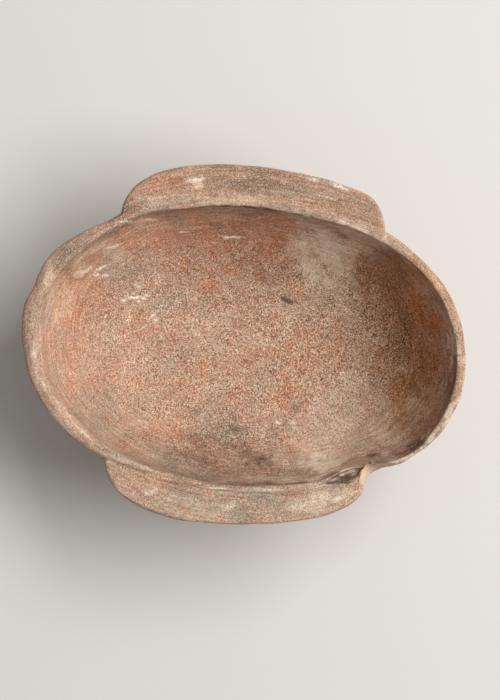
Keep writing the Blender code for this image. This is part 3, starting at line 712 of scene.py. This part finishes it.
def ear_outline(direction, side, shift, lean, form):
    """Radius of one ear's outer edge in each direction, with its swells, or 0 where there is no ear.

    The edge is half a superellipse on the line between the ear's two ends, which lie inside the wall and
    run on straight into it.
    """
    half = form.ear_length / 2
    first = rim_y(shift + half, side, form) - EAR_END_BURIED
    last = rim_y(shift - half, side, form) - EAR_END_BURIED
    turn = np.linspace(0, np.pi, EAR_TABLE)
    along = np.sign(np.cos(turn)) * np.abs(np.cos(turn)) ** (2 / EAR_POWER)
    base = (first + last) / 2 + (first - last) / 2 * along
    reach = (form.bowl_width / 2 + form.ear_reach - (first + last) / 2) * (1 + lean * along)
    out = base + reach * np.abs(np.sin(turn)) ** (2 / EAR_POWER)
    tail = np.linspace(EAR_TAIL, 0, TAIL_TABLE, endpoint=False)
    ends = np.ones(TAIL_TABLE)
    x = shift + half * np.concatenate([ends, along, -ends])
    y = np.concatenate([first - tail, out, last - tail[::-1]])
    angle = np.arctan2(y, x)
    radius = np.hypot(x, y) + SWELL_HEIGHT * bells(side * angle, EAR_SWELLS)
    return np.interp(side * direction, angle, radius, left=0, right=0)


def ear_excess(direction, form):
    """How far the ears stand out past the lip: softness x ln(1 + e^((ear - lip) / softness)), 0 if bare."""
    edge = np.maximum.reduce([ear_outline(direction, *ear, form) for ear in EARS])
    over = (edge - lip_outer(direction, form)) / EAR_ROOT_SOFTNESS
    return EAR_ROOT_SOFTNESS * np.logaddexp(0, over)


def hollow_point(direction, share, form):
    """Radius and height of the bowl's inside at a share of the way to the rim.

    Radius = lip's inner edge x share, and height = floor + depth x (1 - sqrt(1 - share^power)). The broken
    lip's ridge narrows it near the rim by its width x share^power.
    """
    narrowing = LEDGE_WIDTH * bell(direction, *LEDGE)
    radius = lip_inner(direction, form) * share - narrowing * share**LEDGE_POWER
    floor = form.foot_height + form.floor_thickness
    top = crest(direction, form) - inner_drop(direction)
    height = floor + (top - floor) * (1 - np.sqrt(1 - np.minimum(share, 1) ** HOLLOW_POWER))
    return radius, height


def wall_radius_at(direction, height, form):
    """Outside of the wall at that height: the Bezier wall curve, read by its rise."""
    t = np.linspace(0, 1, WALL_TABLE)[:, None]
    weights = np.hstack([(1 - t) ** 3, 3 * t * (1 - t) ** 2, 3 * t * t * (1 - t), t**3])
    run, rise = (weights @ np.array(WALL_CURVE)).T
    top = crest(direction, form) - LIP_OUTER_DROP
    share = np.clip((height - form.foot_height) / (top - form.foot_height), 0, 1)
    foot = oval(direction, form.foot_length, form.foot_width)
    dent = DENT_HEIGHT * bells(direction, RIM_DENTS)
    spread = np.interp(share, rise, run)
    return foot + (wall_edge(direction, form) - foot) * spread + dent * share**DENT_FADE_POWER


def lip_line(direction, out, form):
    """Over the lip from its inner edge: half a superellipse whose two sides drop by different amounts.

    Where an ear leaves it, the outer side is a smooth step down, so that it runs on into the ear's top.
    """
    turn = np.linspace(np.pi, 0, DENSE["lip"])
    inner = hollow_point(direction, np.ones(1), form)[0]
    outer = lip_outer(direction, form)
    power = 2 / (LIP_SQUARENESS - WORN_SQUARENESS * worn(direction))
    across = 0.5 + 0.5 * np.sign(np.cos(turn)) * np.abs(np.cos(turn)) ** power
    fall = 1 - np.abs(np.sin(turn)) ** power
    flush = smooth_step(across, 0.5, 1)
    bare_drop = (LIP_OUTER_DROP + WORN_DROP * worn(direction)) * fall
    ear_drop = (EAR_STEP - EAR_LIFT * ear_share(0, form)) * flush
    outer_drop = bare_drop + (ear_drop - bare_drop) * out
    height = crest(direction, form) - np.where(across < 0.5, inner_drop(direction) * fall, outer_drop)
    return inner + (outer - inner) * across, height


def ear_share(distance, form):
    """How far out on an ear a point is, as a share of its whole plate from its buried edge."""
    return (distance + EAR_BURIED) / (form.ear_reach + EAR_BURIED)


def ear_lines(direction, excess, out, form):
    """Out over an ear, round its edge, and back below it to the wall. With no ear, down the wall.

    Top = crest - step + lift x share, and thickness runs from root to edge. The edge is half a
    superellipse. Every radius is the wall's where no ear is present.
    """
    outer = lip_outer(direction, form)
    rounding = np.minimum(EAR_ROUNDING, MOST_ROUNDING * excess)
    start = crest(direction, form) - LIP_OUTER_DROP - WORN_DROP * worn(direction)
    start = start + (crest(direction, form) - EAR_STEP + EAR_LIFT * ear_share(0, form) - start) * out

    def top(distance):
        return start + EAR_LIFT * (ear_share(distance, form) - ear_share(0, form))

    def thickness(distance):
        return form.ear_root + (form.ear_edge - form.ear_root) * ear_share(distance, form)

    flat = excess - rounding
    over = flat * np.linspace(0, 1, DENSE["ear"])
    turn = np.linspace(np.pi / 2, -np.pi / 2, DENSE["edge"])
    half = thickness(flat) / 2
    bulge = np.abs(np.cos(turn)) ** (2 / EAR_SQUARENESS)
    level = np.sign(np.sin(turn)) * np.abs(np.sin(turn)) ** (2 / EAR_SQUARENESS)
    back = flat * np.linspace(1, 0, DENSE["below"])
    radius = np.hstack([outer + over, outer + flat + rounding * bulge, outer + back])
    height = np.hstack([top(over), top(flat) - half + half * level, top(back) - thickness(back)])
    wall = wall_radius_at(direction, height, form)
    below = np.hstack([0 * over, 0 * (rounding * bulge), 1 - back / np.maximum(flat, NEVER_ZERO)])
    radius = radius + (wall - outer) * below
    return wall + (radius - wall) * out, height


def wall_line(direction, start, form):
    """Down the outside of the wall from that height to the foot's top edge, by t^spread of the way."""
    height = start + (form.foot_height - start) * np.linspace(0, 1, DENSE["wall"]) ** WALL_SPREAD
    return wall_radius_at(direction, height, form), height


def foot_lines(direction, form):
    """Down the foot's side, which leans in by its taper, and across the underside, slightly hollow."""
    top = oval(direction, form.foot_length, form.foot_width)
    base = oval(direction, form.foot_length - 2 * FOOT_TAPER, form.foot_width - 2 * FOOT_TAPER)
    down = np.linspace(0, 1, DENSE["foot"])
    inwards = np.linspace(1, UNDERSIDE_MIDDLE, DENSE["underside"])
    radius = np.hstack([top + (base - top) * down, base * inwards])
    side = form.foot_height * (1 - down) + 0 * top
    underside = UNDERSIDE_HOLLOW * smooth_step(inwards, *UNDERSIDE_SLOPE) + 0 * top
    return radius, np.hstack([side, underside])


def chip_limit(direction, height, form):
    """Radius at which the missing chip's cylinder is met in that direction and at that height.

    A point at radius r is r x u + c from the cylinder's axis. Across the axis that is r x u' + c', and its
    length is the cylinder's radius at the smaller root of a quadratic in r. Past the shoulder's first
    direction that radius only rises, by its rise x smooth step, until the cut runs out of the rim.
    """
    degrees = np.degrees(direction)
    direction = np.minimum(direction, np.radians(CHIP_SHOULDER[0]))
    turn = np.linspace(0, np.pi, RIM_TABLE)
    rim_x = wall_edge(-turn, form) * np.cos(turn)
    end = EARS[1][1] + form.ear_length / 2
    middle = -np.interp(-end, -rim_x, turn) + np.radians(CHIP_TURN)
    stand = wall_edge(middle, form) + CHIP_STAND_OFF
    lean = np.radians(CHIP_LEAN)
    axis = np.array([-np.sin(lean) * np.cos(middle), -np.sin(lean) * np.sin(middle), np.cos(lean)])
    centre = np.array([stand * np.cos(middle), stand * np.sin(middle), crest(middle, form)])
    outwards = np.stack([np.cos(direction), np.sin(direction), 0 * direction], axis=-1)
    outwards = outwards - (outwards @ axis)[..., None] * axis
    offset = np.stack([0 * height - centre[0], 0 * height - centre[1], height - centre[2]], axis=-1)
    offset = offset - (offset @ axis)[..., None] * axis
    square = (outwards * outwards).sum(-1)
    product = (outwards * offset).sum(-1)
    rest = (offset * offset).sum(-1) - CHIP_RADIUS**2
    root = product**2 - square * rest
    near = (-product - np.sqrt(np.maximum(root, 0))) / square
    near = near + CHIP_SHOULDER_RISE * smooth_step(degrees, *CHIP_SHOULDER)
    faces = (degrees < CHIP_SHOULDER[1]) & (degrees > np.degrees(middle) - CHIP_REACH)
    return np.where((root > 0) & faces, near, np.inf)


def groove_depth(direction, radius, form):
    """Depth of the grooves and of the broken lip at that radius: a flat-bottomed step and its trough."""
    inside = radius - hollow_point(direction, np.ones(1), form)[0]
    risen = smooth_step(inside, BREAK_INNER - BREAK_SLOPE, BREAK_INNER + BREAK_SLOPE)
    sunk = smooth_step(inside, BREAK_OUTER + BREAK_SLOPE, BREAK_OUTER - BREAK_SLOPE)
    depth = BREAK_DEPTH * risen * sunk + TROUGH_DEPTH * hump(inside - TROUGH_PLACE, TROUGH_WIDTH)
    depth = depth * bell(direction, *BREAK)
    degrees = np.degrees(direction)
    for middle, spread, place, change, deep in LIP_GROOVES:
        at = (place + change * (degrees - middle)) * MM
        depth = depth + deep * MM * bell(direction, middle, spread) * hump(inside - at, GROOVE_WIDTH)
    return depth


def softened(line, passes):
    """Rounds a line's corners: each inner point becomes (one before + 2 x itself + one after) / 4."""
    for _ in range(passes):
        line = line.copy()
        line[:, 1:-1] = (line[:, :-2] + 2 * line[:, 1:-1] + line[:, 2:]) / 4
    return line


def even_rows(channels, weight, rows):
    """Spreads each column's points so that every step has the same length x weight.

    The first two channels are radius and height. All columns are read at once from one rising table.
    """
    radius, height = channels[:2]
    step = np.hypot(np.diff(radius, axis=1), np.diff(height, axis=1)) * weight[1:] + TINY_STEP
    reach = np.hstack([np.zeros((len(radius), 1)), np.cumsum(step, axis=1)])
    reach /= reach[:, -1:]
    column = 2.0 * np.arange(len(radius))[:, None]
    wanted = (np.linspace(0, 1, rows) + column).ravel()
    table = (reach + column).ravel()
    return [np.interp(wanted, table, channel.ravel()).reshape(-1, rows) for channel in channels]


def streak_depth(direction, share, height, form):
    """Rises steadily from the middle of the floor to the lip's inner edge, where it is 0.

    It is (share - 1) x a third of the bowl's width, plus the height less the lip's inner edge's.
    """
    top = crest(direction, form) - inner_drop(direction)
    return (share - 1) * form.bowl_width / 3 + height - top


def line_marks():
    """Facing up, worn edge and row weight along a column's dense lines, the same on every column.

    Facing falls as sqrt(1 - t) round an ear's edge. Wear is sin(turn)^power over the lip and round an ear's
    edge, and the same on a few points at the foot's corner.
    """
    stops = dict(zip(DENSE, np.cumsum(list(DENSE.values()))))
    parts = {name: slice(stop - DENSE[name], stop) for name, stop in stops.items()}
    facing, wear, weight = np.zeros((3, stops["underside"]))
    facing[: stops["ear"]] = 1
    facing[parts["edge"]] = np.sqrt(np.linspace(1, 0, DENSE["edge"]))
    wear[parts["lip"]] = np.sin(np.linspace(0, np.pi, DENSE["lip"])) ** LIP_WEAR_POWER
    wear[parts["edge"]] = np.sin(np.linspace(EAR_WEAR_START, np.pi, DENSE["edge"])) ** EAR_WEAR_POWER
    wear[stops["foot"] - FOOT_WEAR_ROWS : stops["foot"] + FOOT_WEAR_ROWS] = FOOT_WEAR
    for name, share in ROW_WEIGHTS.items():
        weight[parts[name]] = share
    return facing, wear, weight


def outer_rows(direction, form):
    """The section from the lip's inner edge to the underside's centre, as evenly spread rows.

    Gives radius, height, path length from the lip's inner edge, and marks from 0 to 1: facing up, edge,
    freshly broken and groove.
    """
    excess = ear_excess(direction, form)
    out = smooth_step(excess, 0, EAR_PRESENCE)
    lip = lip_line(direction, out, form)
    ear = ear_lines(direction, excess, out, form)
    wall = wall_line(direction, ear[1][:, -1:], form)
    foot = foot_lines(direction, form)
    radius = np.hstack([part[0] for part in (lip, ear, wall, foot)])
    height = np.hstack([part[1] for part in (lip, ear, wall, foot)])
    facing, edge, weight = line_marks()

    rough = np.stack([radius * np.cos(direction), radius * np.sin(direction), height], axis=-1)
    jag = CHIP_JAG * ripples(rough.reshape(-1, 3), CHIP_JAG_WAVE, CHIP_JAG_SEED).reshape(radius.shape)
    limit = chip_limit(np.broadcast_to(direction, height.shape), height, form) + jag
    fresh = smooth_step(radius - limit, -CHIP_EDGE, CHIP_EDGE)
    groove = groove_depth(direction, radius, form) * (radius < limit) * facing
    radius = softened(np.minimum(radius, limit), SOFTENING)
    height = softened(height - groove, SOFTENING)
    step = np.hypot(np.diff(radius, axis=1), np.diff(height, axis=1))
    path = np.hstack([np.zeros((len(radius), 1)), np.cumsum(step, axis=1)])
    shape = radius.shape
    channels = [radius, height, path, np.broadcast_to(facing, shape), np.broadcast_to(edge, shape)]
    channels += [fresh, smooth_step(groove, 0, GROOVE_DARKENING_DEPTH)]
    split = DENSE["lip"]
    over_lip = [channel[:, :split] for channel in channels]
    beyond = [channel[:, split - 1 :] for channel in channels]
    lip_part = even_rows(over_lip, np.ones(split), LIP_ROWS)
    outer_part = even_rows(beyond, weight[split - 1 :], OUTER_ROWS)
    return [np.hstack([a, b[:, 1:]]) for a, b in zip(lip_part, outer_part)]


def middle_grid():
    """A square grid of points bent into a disc, as (angle, share of the radius), row by row.

    The square's ring at distance m from its middle becomes the circle of radius m, and its sides keep
    their even spacing: angle = pi / 4 x (across / along) on each of the four sides.
    """
    side = np.linspace(-1, 1, COLUMNS // 4 + 1)
    p, q = np.meshgrid(side, side, indexing="ij")
    wide = np.abs(p) >= np.abs(q)
    share = np.maximum(np.abs(p), np.abs(q))
    along = np.where(wide, p, q)
    ratio = np.where(wide, q, p) / np.where(along == 0, 1, along)
    angle = np.where(wide, np.pi / 4 * ratio, np.pi / 2 - np.pi / 4 * ratio)
    return angle + np.where(along < 0, np.pi, 0), share


def square_border(count):
    """Indexes of a count x count grid's border points, counterclockwise from its +X, -Y corner."""
    index = np.arange(count * count).reshape(count, count)
    return np.concatenate([index[-1, :-1], index[:0:-1, -1], index[0, :0:-1], index[:-1, 0]])


def true_direction(angle, form):
    """Turns an even angle into the direction of that point on an ellipse of the bowl's proportions."""
    return np.arctan2(form.bowl_width * np.sin(angle), form.bowl_length * np.cos(angle))


def cup_surface(form):
    """All points of the cup with their marks, and its faces.

    The marks are arrays by name: direction, share of the way to the rim (over 1 outside it), path (the
    streak coordinate), facing, edge, fresh and groove.
    """
    angle, disc = middle_grid()
    direction = true_direction(angle.ravel(), form)
    first_turn = np.arcsin(MIDDLE_SHARE) / (np.pi / 2)
    share = np.sin(np.pi / 2 * first_turn * disc.ravel())
    radius, height = hollow_point(direction, share, form)
    blank = 0 * share
    middle = [direction, share, radius, height, streak_depth(direction, share, height, form)]
    middle += [blank + 1, blank, blank, blank]

    column = 2 * np.pi * np.arange(COLUMNS) / COLUMNS - np.pi / 4
    direction = true_direction(column, form)[:, None]
    turn = first_turn + (1 - first_turn) * np.arange(1, HOLLOW_ROWS) / HOLLOW_ROWS
    share = np.sin(np.pi / 2 * turn)
    radius, height = hollow_point(direction, share, form)
    path = streak_depth(direction, share, height, form)
    blank = 0 * radius
    inside = [radius, height, path, blank + 1, blank, blank, blank]
    outside = outer_rows(direction, form)
    band = [np.hstack([a, b]) for a, b in zip(inside, outside)]
    rows = band[0].shape[1]
    beyond = 1 + outside[2] / form.bowl_width
    whole_share = np.hstack([share + blank, beyond])
    whole_direction = direction + 0 * band[0]
    band = [channel.T.ravel() for channel in [whole_direction, whole_share, *band]]

    pole = [0.0, band[1][-1], 0.0, UNDERSIDE_HOLLOW, band[4][-1], 0.0, 0.0, 0.0, 0.0]
    names = ("direction", "share", "radius", "height", "path", "facing", "edge", "fresh", "groove")
    marks = {n: np.concatenate([a, b, [c]]) for n, a, b, c in zip(names, middle, band, pole)}
    radius, direction = marks.pop("radius"), marks["direction"]
    points = np.stack([radius * np.cos(direction), radius * np.sin(direction), marks.pop("height")], axis=1)

    side = COLUMNS // 4 + 1
    square = np.arange(side * side).reshape(side, side)
    corners = (square[:-1, :-1], square[1:, :-1], square[1:, 1:], square[:-1, 1:])
    quads = [np.stack(corners, axis=-1).reshape(-1, 4)]
    rings = side * side + np.arange(rows * COLUMNS).reshape(rows, COLUMNS)
    rings = np.vstack([square_border(side), rings])
    turned = np.roll(rings, -1, axis=1)
    corners = (rings[:-1], rings[1:], turned[1:], turned[:-1])
    quads.append(np.stack(corners, axis=-1).reshape(-1, 4))
    last = len(points) - 1
    fan = np.stack([rings[-1], np.full(COLUMNS, last), turned[-1]], axis=1)
    return points, marks, np.vstack(quads).tolist() + fan.tolist()


def mesh_normals(mesh):
    """The normals of the mesh's points."""
    normals = np.empty(len(mesh.vertices) * 3)
    mesh.vertices.foreach_get("normal", normals)
    return normals.reshape(-1, 3)


def rim_coordinates(marks, turns, pitch):
    """Coordinates whose noise runs round the rim in streaks: turns x cos, turns x sin, and path / pitch."""
    direction = marks["direction"]
    return np.stack([turns * np.cos(direction), turns * np.sin(direction), marks["path"] / pitch], axis=1)


def relief(points, marks, depths):
    """How far each point moves along its normal: hand unevenness, wiping marks, floor grit and fracture."""
    share, fresh = marks["share"], marks["fresh"]
    floor = smooth_step(share, *GRITTY_FLOOR)
    broad = sum(size * ripples(points, wave, seed) for wave, size, seed in HAND_RIPPLES)
    near_lip = smooth_step(np.abs(share - LIP_MIDDLE), LIP_CALM_REACH, 0)
    calm = 1 - LIP_CALM * near_lip * smooth_step(share, *LIP_CALM_FADE)
    wiped = ripples(rim_coordinates(marks, WIPING_ROUND, WIPING_PITCH), 1.0, WIPING_SEED)
    grit = ripples(points, GRIT_WAVE, GRIT_SEED) * (WALL_GRIT + (1 - WALL_GRIT) * floor)
    moved = depths.unevenness * broad * calm
    moved += depths.wiping * wiped * (1 - FLOOR_WIPED_OFF * floor) + depths.grit * grit * (1 - fresh)
    return moved + depths.fracture * ripples(points, FRACTURE_WAVE, FRACTURE_SEED) * fresh


def ellipses(points, rows, warps):
    """Strength at each point of a table of stains, from 0 to 1.

    Each is an ellipse that fades from its middle to a little past its edge. The warps push it about in
    proportion to its width, up to the widest push, so that no edge is smooth. Stains combine as 1 - (1 - a)
    x (1 - b).
    """
    clear = np.ones(len(points))
    for x, y, half_length, half_width, turn, strength in rows:
        push = min(half_width, WIDEST_PUSH) * warps
        across, up = points[:, 0] / MM - x + push[0], points[:, 1] / MM - y + push[1]
        cos, sin = np.cos(np.radians(turn)), np.sin(np.radians(turn))
        along, aside = cos * across + sin * up, cos * up - sin * across
        distance = np.hypot(along / half_length, aside / half_width)
        clear *= 1 - strength * (1 - smooth_step(distance, *STAIN_FADE))
    return 1 - clear


def stain_shares(points, marks, warps):
    """Strength of each kind of stain at each point, from 0 to 1.

    A stain seen from above is on the inside and on what faces up. With it goes a background that swings
    about its mean: ripples with one wave for each kind, stronger on the outside and below. Along the rim run
    broken lines: strength x exp(-(distance / half width)^2) x a smooth step of ripples.
    """
    facing, path = marks["facing"], marks["path"] / MM
    calm = 1 - CALM_RIM * smooth_step(marks["share"], *CALM_RIM_START)
    made = {}
    for seed, (kind, rows) in enumerate(STAINS.items(), BACKGROUND_SEED):
        mean, swing, back_mean, back_swing = BACKGROUNDS[kind]
        wave = ripples(points, BACKGROUND_WAVE, seed)
        front, back = mean + swing * wave * calm, back_mean + back_swing * wave
        background = np.clip(back + (front - back) * facing, 0, 1)
        made[kind] = together(background, ellipses(points, rows, warps) * facing)
    for seed, (kind, middle, spread, place, half_width, strength) in enumerate(RIM_LINES, RIM_LINE_SEED):
        broken = smooth_step(ripples(points, RIM_LINE_WAVE, seed), *RIM_LINE_BREAKS) * facing
        line = hump(path - place, half_width) * bell(marks["direction"], middle, spread)
        made[kind] = together(made[kind], strength * broken * line)
    made["dust_and_painted_light"] = together(made["dust_and_painted_light"], WORN_EDGE_DUST * marks["edge"])
    # Dirt and painted shade darken the grooves
    made["soot_and_shade"] = together(made["soot_and_shade"], GROOVE_DIRT_AND_SHADE * marks["groove"])
    return made


def clay_marks(points, marks):
    """What the clay's material reads at each point: stains, sandiness, clean break and streaks."""
    warps = []
    for first in WARP_SEEDS:
        seeds = enumerate(STAIN_WARPS, first)
        warps.append(sum(size * ripples(points, wave, seed) for seed, (wave, size) in seeds))
    warps = np.array(warps)
    made = stain_shares(points, marks, warps)
    share = marks["share"]
    floor, wall, rest = SANDINESS
    sand = wall + (floor - wall) * smooth_step(share, *FLOOR_EDGE)
    sand += (rest - wall) * smooth_step(share, *LIP_EDGE)
    crust = smooth_step(made["soot_and_shade"], *DARK_CRUST)
    made["dust_and_painted_light"] *= 1 - BARE_CRUST * crust
    sand *= 1 - BARE_CRUST * np.maximum(made["lime_and_painted_light"], crust)
    made["sand"] = sand + ellipses(points, [SANDY_RIGHT], warps) * (share < SANDY_RIGHT_END)
    made["streaky"] = smooth_step(share, *STREAKS_START)
    made["patchy"] = 1 - WIPED_PATCHES * made["streaky"]
    made["fresh"] = marks["fresh"]
    for low, high in CHIP_CLEAN:
        made["fresh"] = made["fresh"] * smooth_step(np.degrees(marks["direction"]), low, high)
    made["streak"] = rim_coordinates(marks, STREAKS_ROUND, STREAK_PITCH)
    return made


def add_attribute(mesh, name, values):
    """Stores a number at each of the mesh's points, or a vector where values has three columns."""
    kind = "FLOAT" if values.ndim == 1 else "FLOAT_VECTOR"
    attribute = mesh.attributes.new(name, kind, "POINT")
    field = "value" if values.ndim == 1 else "vector"
    attribute.data.foreach_set(field, values.astype(np.float32).ravel())


def inside_box(points):
    """Keeps every point inside the packed model's box."""
    low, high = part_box("ear_cup")
    return np.clip(points, np.array(low), np.array(high))


def add_node(tree, kind, inputs=(), **settings):
    """Adds a node of that kind. inputs gives a value or another node's socket for each of its own."""
    made = tree.nodes.new(kind)
    for name, value in settings.items():
        setattr(made, name, value)
    for name, value in dict(inputs).items():
        socket = made.inputs[name]
        if isinstance(value, bpy.types.NodeSocket):
            tree.links.new(value, socket)
        else:
            socket.default_value = value
    return made


def earthenware(colours, grain_depth):
    """Low-fired, hand-finished earthenware: matt, sandy, stained and dusty, with no gloss anywhere.

    Sandy clay fired at a low heat scatters light evenly, so it is rough all over and its grains show as
    pale and dark specks. Iron, soil and lime sank in unevenly, so each stain's edge is broken up. Some of
    the soot, ochre, dust and lime is painted light and shade, as the stain tables say.
    """
    material = bpy.data.materials.new("low_fired_sandy_earthenware")
    material.use_nodes = True
    tree = material.node_tree
    place = add_node(tree, "ShaderNodeTexCoord").outputs["Object"]
    names = (*STAINS, "sand", "patchy", "streaky", "fresh", "streak")
    read = {name: add_node(tree, "ShaderNodeAttribute", attribute_name=name) for name in names}
    marks = {name: node.outputs["Fac"] for name, node in read.items()}
    where = {name: place for name in PATTERNS} | {"wiping": read["streak"].outputs["Vector"]}

    noises = {}
    for seed, (name, (size, detail)) in enumerate(PATTERNS.items()):
        inputs = {"Vector": where[name], "W": seed, "Scale": 1 / size, "Detail": detail}
        noise = add_node(tree, "ShaderNodeTexNoise", inputs, noise_dimensions="4D")
        noises[name] = noise.outputs["Fac"], NOISE_SWING
    cells = add_node(tree, "ShaderNodeTexVoronoi", {"Vector": place, "Scale": 1 / GRAIN_SIZE})
    noises["grains"] = cells.outputs["Color"], GRAIN_SWING
    patterns = {}
    for name, (noise, swing) in noises.items():
        inputs = {0: noise, 1: 0.5 - swing, 2: 0.5 + swing, 3: -1.0, 4: 1.0}
        patterns[name] = add_node(tree, "ShaderNodeMapRange", inputs, clamp=False).outputs[0]
    for name, mark in PATTERN_MARKS.items():
        inputs = {0: patterns[name], 1: marks[mark]}
        patterns[name] = add_node(tree, "ShaderNodeMath", inputs, operation="MULTIPLY").outputs[0]

    tone = (*colours.tan, 1)
    for mark, pattern, broken in LAYERS:
        inputs = {0: patterns[pattern], 1: broken, 2: 1.0}
        share = add_node(tree, "ShaderNodeMath", inputs, operation="MULTIPLY_ADD").outputs[0]
        inputs = {0: marks[mark], 1: share}
        amount = add_node(tree, "ShaderNodeMath", inputs, operation="MULTIPLY", use_clamp=True).outputs[0]
        inputs = {0: amount, 6: tone, 7: (*getattr(colours, mark), 1)}
        tone = add_node(tree, "ShaderNodeMix", inputs, data_type="RGBA").outputs[2]

    # The grains show more where the clay is sandier, and the sand itself is patchy
    inputs = {0: patterns["blotch"], 1: SAND_PATCHES, 2: 1.0}
    sandy = add_node(tree, "ShaderNodeMath", inputs, operation="MULTIPLY_ADD").outputs[0]
    for factor in (marks["sand"], patterns["grains"]):
        sandy = add_node(tree, "ShaderNodeMath", {0: sandy, 1: factor}, operation="MULTIPLY").outputs[0]
    for speck, strength in SPECKS:
        inputs = {0: sandy, 1: strength}
        amount = add_node(tree, "ShaderNodeMath", inputs, operation="MULTIPLY", use_clamp=True).outputs[0]
        inputs = {0: amount, 6: tone, 7: (*getattr(colours, speck), 1)}
        tone = add_node(tree, "ShaderNodeMix", inputs, data_type="RGBA").outputs[2]

    # Wiping marks run round the walls and ears as faint light and dark streaks, and clouds lie everywhere
    for pattern, swing in TONES:
        inputs = {0: patterns[pattern], 1: swing, 2: 1.0}
        brightness = add_node(tree, "ShaderNodeMath", inputs, operation="MULTIPLY_ADD").outputs[0]
        inputs = {0: tone, "Scale": brightness}
        tone = add_node(tree, "ShaderNodeVectorMath", inputs, operation="SCALE").outputs[0]
    inputs = {0: marks["fresh"], 6: tone, 7: (*colours.fresh, 1)}
    tone = add_node(tree, "ShaderNodeMix", inputs, data_type="RGBA").outputs[2]

    bump = add_node(tree, "ShaderNodeBump", {"Height": sandy, "Distance": grain_depth, "Strength": 1.0})
    shader = tree.nodes["Principled BSDF"]
    tree.links.new(tone, shader.inputs["Base Color"])
    tree.links.new(bump.outputs[0], shader.inputs["Normal"])
    shader.inputs["Roughness"].default_value = CLAY_ROUGHNESS
    shader.inputs["Specular IOR Level"].default_value = CLAY_SPECULAR
    return material


class EARCUP_OT_make_cup(bpy.types.Operator):
    """Makes the ear cup's surface and its clay, in place of the packed solid"""

    bl_idname = "earcup.make_cup"
    bl_label = "Make the ear cup"

    def execute(self, context):
        scene = context.scene
        points, marks, faces = cup_surface(scene.cup_form)
        mesh = bpy.data.meshes.new("ear_cup_clay")
        mesh.from_pydata(points.tolist(), [], faces)
        mesh.shade_smooth()
        mesh.update()
        moved = relief(points, marks, scene.cup_relief)[:, None] * mesh_normals(mesh)
        points = inside_box(points + moved)
        mesh.vertices.foreach_set("co", points.astype(np.float32).ravel())
        mesh.update()
        if mesh.validate():
            raise RuntimeError("the cup's mesh has faulty faces")
        for name, values in clay_marks(points, marks).items():
            add_attribute(mesh, name, values)
        mesh.materials.append(earthenware(scene.clay_colours, scene.cup_relief.grain))
        cup = bpy.data.objects.new("earthenware_cup", mesh)
        scene.collection.objects.link(cup)
        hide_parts("ear_cup")
        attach(cup, "root")
        return {"FINISHED"}


class EARCUP_OT_make_stage(bpy.types.Operator):
    """Makes the pale floor, the soft light and the camera straight above the cup"""

    bl_idname = "earcup.make_stage"
    bl_label = "Make the stage"

    def execute(self, context):
        scene = context.scene
        studio = scene.cup_studio
        mesh = bpy.data.meshes.new("floor")
        half = studio.floor_side / 2
        corners = [(-half, -half, 0), (half, -half, 0), (half, half, 0), (-half, half, 0)]
        mesh.from_pydata(corners, [], [(0, 1, 2, 3)])
        paper = bpy.data.materials.new("matt_paper")
        paper.use_nodes = True
        shader = paper.node_tree.nodes["Principled BSDF"]
        shader.inputs["Base Color"].default_value = (*studio.floor_colour, 1)
        shader.inputs["Roughness"].default_value = PAPER_ROUGHNESS
        mesh.materials.append(paper)
        floor = bpy.data.objects.new("floor", mesh)
        scene.collection.objects.link(floor)

        lamp = bpy.data.lights.new("soft_lamp", "AREA")
        lamp.energy = studio.lamp_power
        lamp.shape = "RECTANGLE"
        lamp.size, lamp.size_y = studio.lamp_width, studio.lamp_length
        key = bpy.data.objects.new("soft_lamp", lamp)
        azimuth, elevation = studio.lamp_azimuth, studio.lamp_elevation
        way = np.array(
            [np.cos(elevation) * np.cos(azimuth), np.cos(elevation) * np.sin(azimuth), np.sin(elevation)]
        )
        key.location = studio.lamp_distance * way
        key.rotation_euler = (0, np.pi / 2 - elevation, azimuth)
        scene.collection.objects.link(key)

        world = bpy.data.worlds.new("even_light")
        world.use_nodes = True
        sky = world.node_tree.nodes["Background"]
        sky.inputs["Color"].default_value = (1, 1, 1, 1)
        sky.inputs["Strength"].default_value = studio.sky_strength
        scene.world = world

        lens = bpy.data.cameras.new("camera")
        lens.sensor_width = SENSOR_SIDE
        lens.lens = SENSOR_SIDE * studio.camera_height / studio.view_height
        lens.clip_start = CLIP_START
        camera = bpy.data.objects.new("camera", lens)
        height = scene.cup_form.side_height + studio.camera_height
        camera.location = (studio.camera_x, studio.camera_y, height)
        camera.rotation_euler = (0, 0, studio.camera_turn)
        scene.collection.objects.link(camera)
        scene.camera = camera
        scene.view_settings.view_transform = "Standard"
        return {"FINISHED"}


class EARCUP_PT_panel(bpy.types.Panel):
    """Lists the cup's sizes, colours and operators"""

    bl_label = "Ear cup"
    bl_space_type = "VIEW_3D"
    bl_region_type = "UI"
    bl_category = "Ear cup"

    def draw(self, context):
        for owner, group in GROUPS:
            box = self.layout.box()
            box.label(text=group.__doc__.split(".")[0])
            for name in group.__annotations__:
                box.prop(getattr(context.scene, owner), name)
        for operator in OPERATORS:
            self.layout.operator(operator.bl_idname)


GROUPS = (
    ("cup_form", CupForm),
    ("cup_relief", CupRelief),
    ("clay_colours", ClayColours),
    ("cup_studio", Studio),
)
OPERATORS = (EARCUP_OT_make_cup, EARCUP_OT_make_stage)
CLASSES = (*(group for _, group in GROUPS), *OPERATORS, EARCUP_PT_panel)


def register():
    """Registers the classes and gives each scene the cup's settings."""
    for made in CLASSES:
        bpy.utils.register_class(made)
    for name, group in GROUPS:
        setattr(bpy.types.Scene, name, bpy.props.PointerProperty(type=group))


def unregister():
    """Takes back what register did."""
    for name, _ in GROUPS:
        delattr(bpy.types.Scene, name)
    for made in reversed(CLASSES):
        bpy.utils.unregister_class(made)


def main():
    """Makes the cup and its stage."""
    register()
    bpy.ops.earcup.make_cup()
    bpy.ops.earcup.make_stage()


if __name__ == "__main__":
    main()
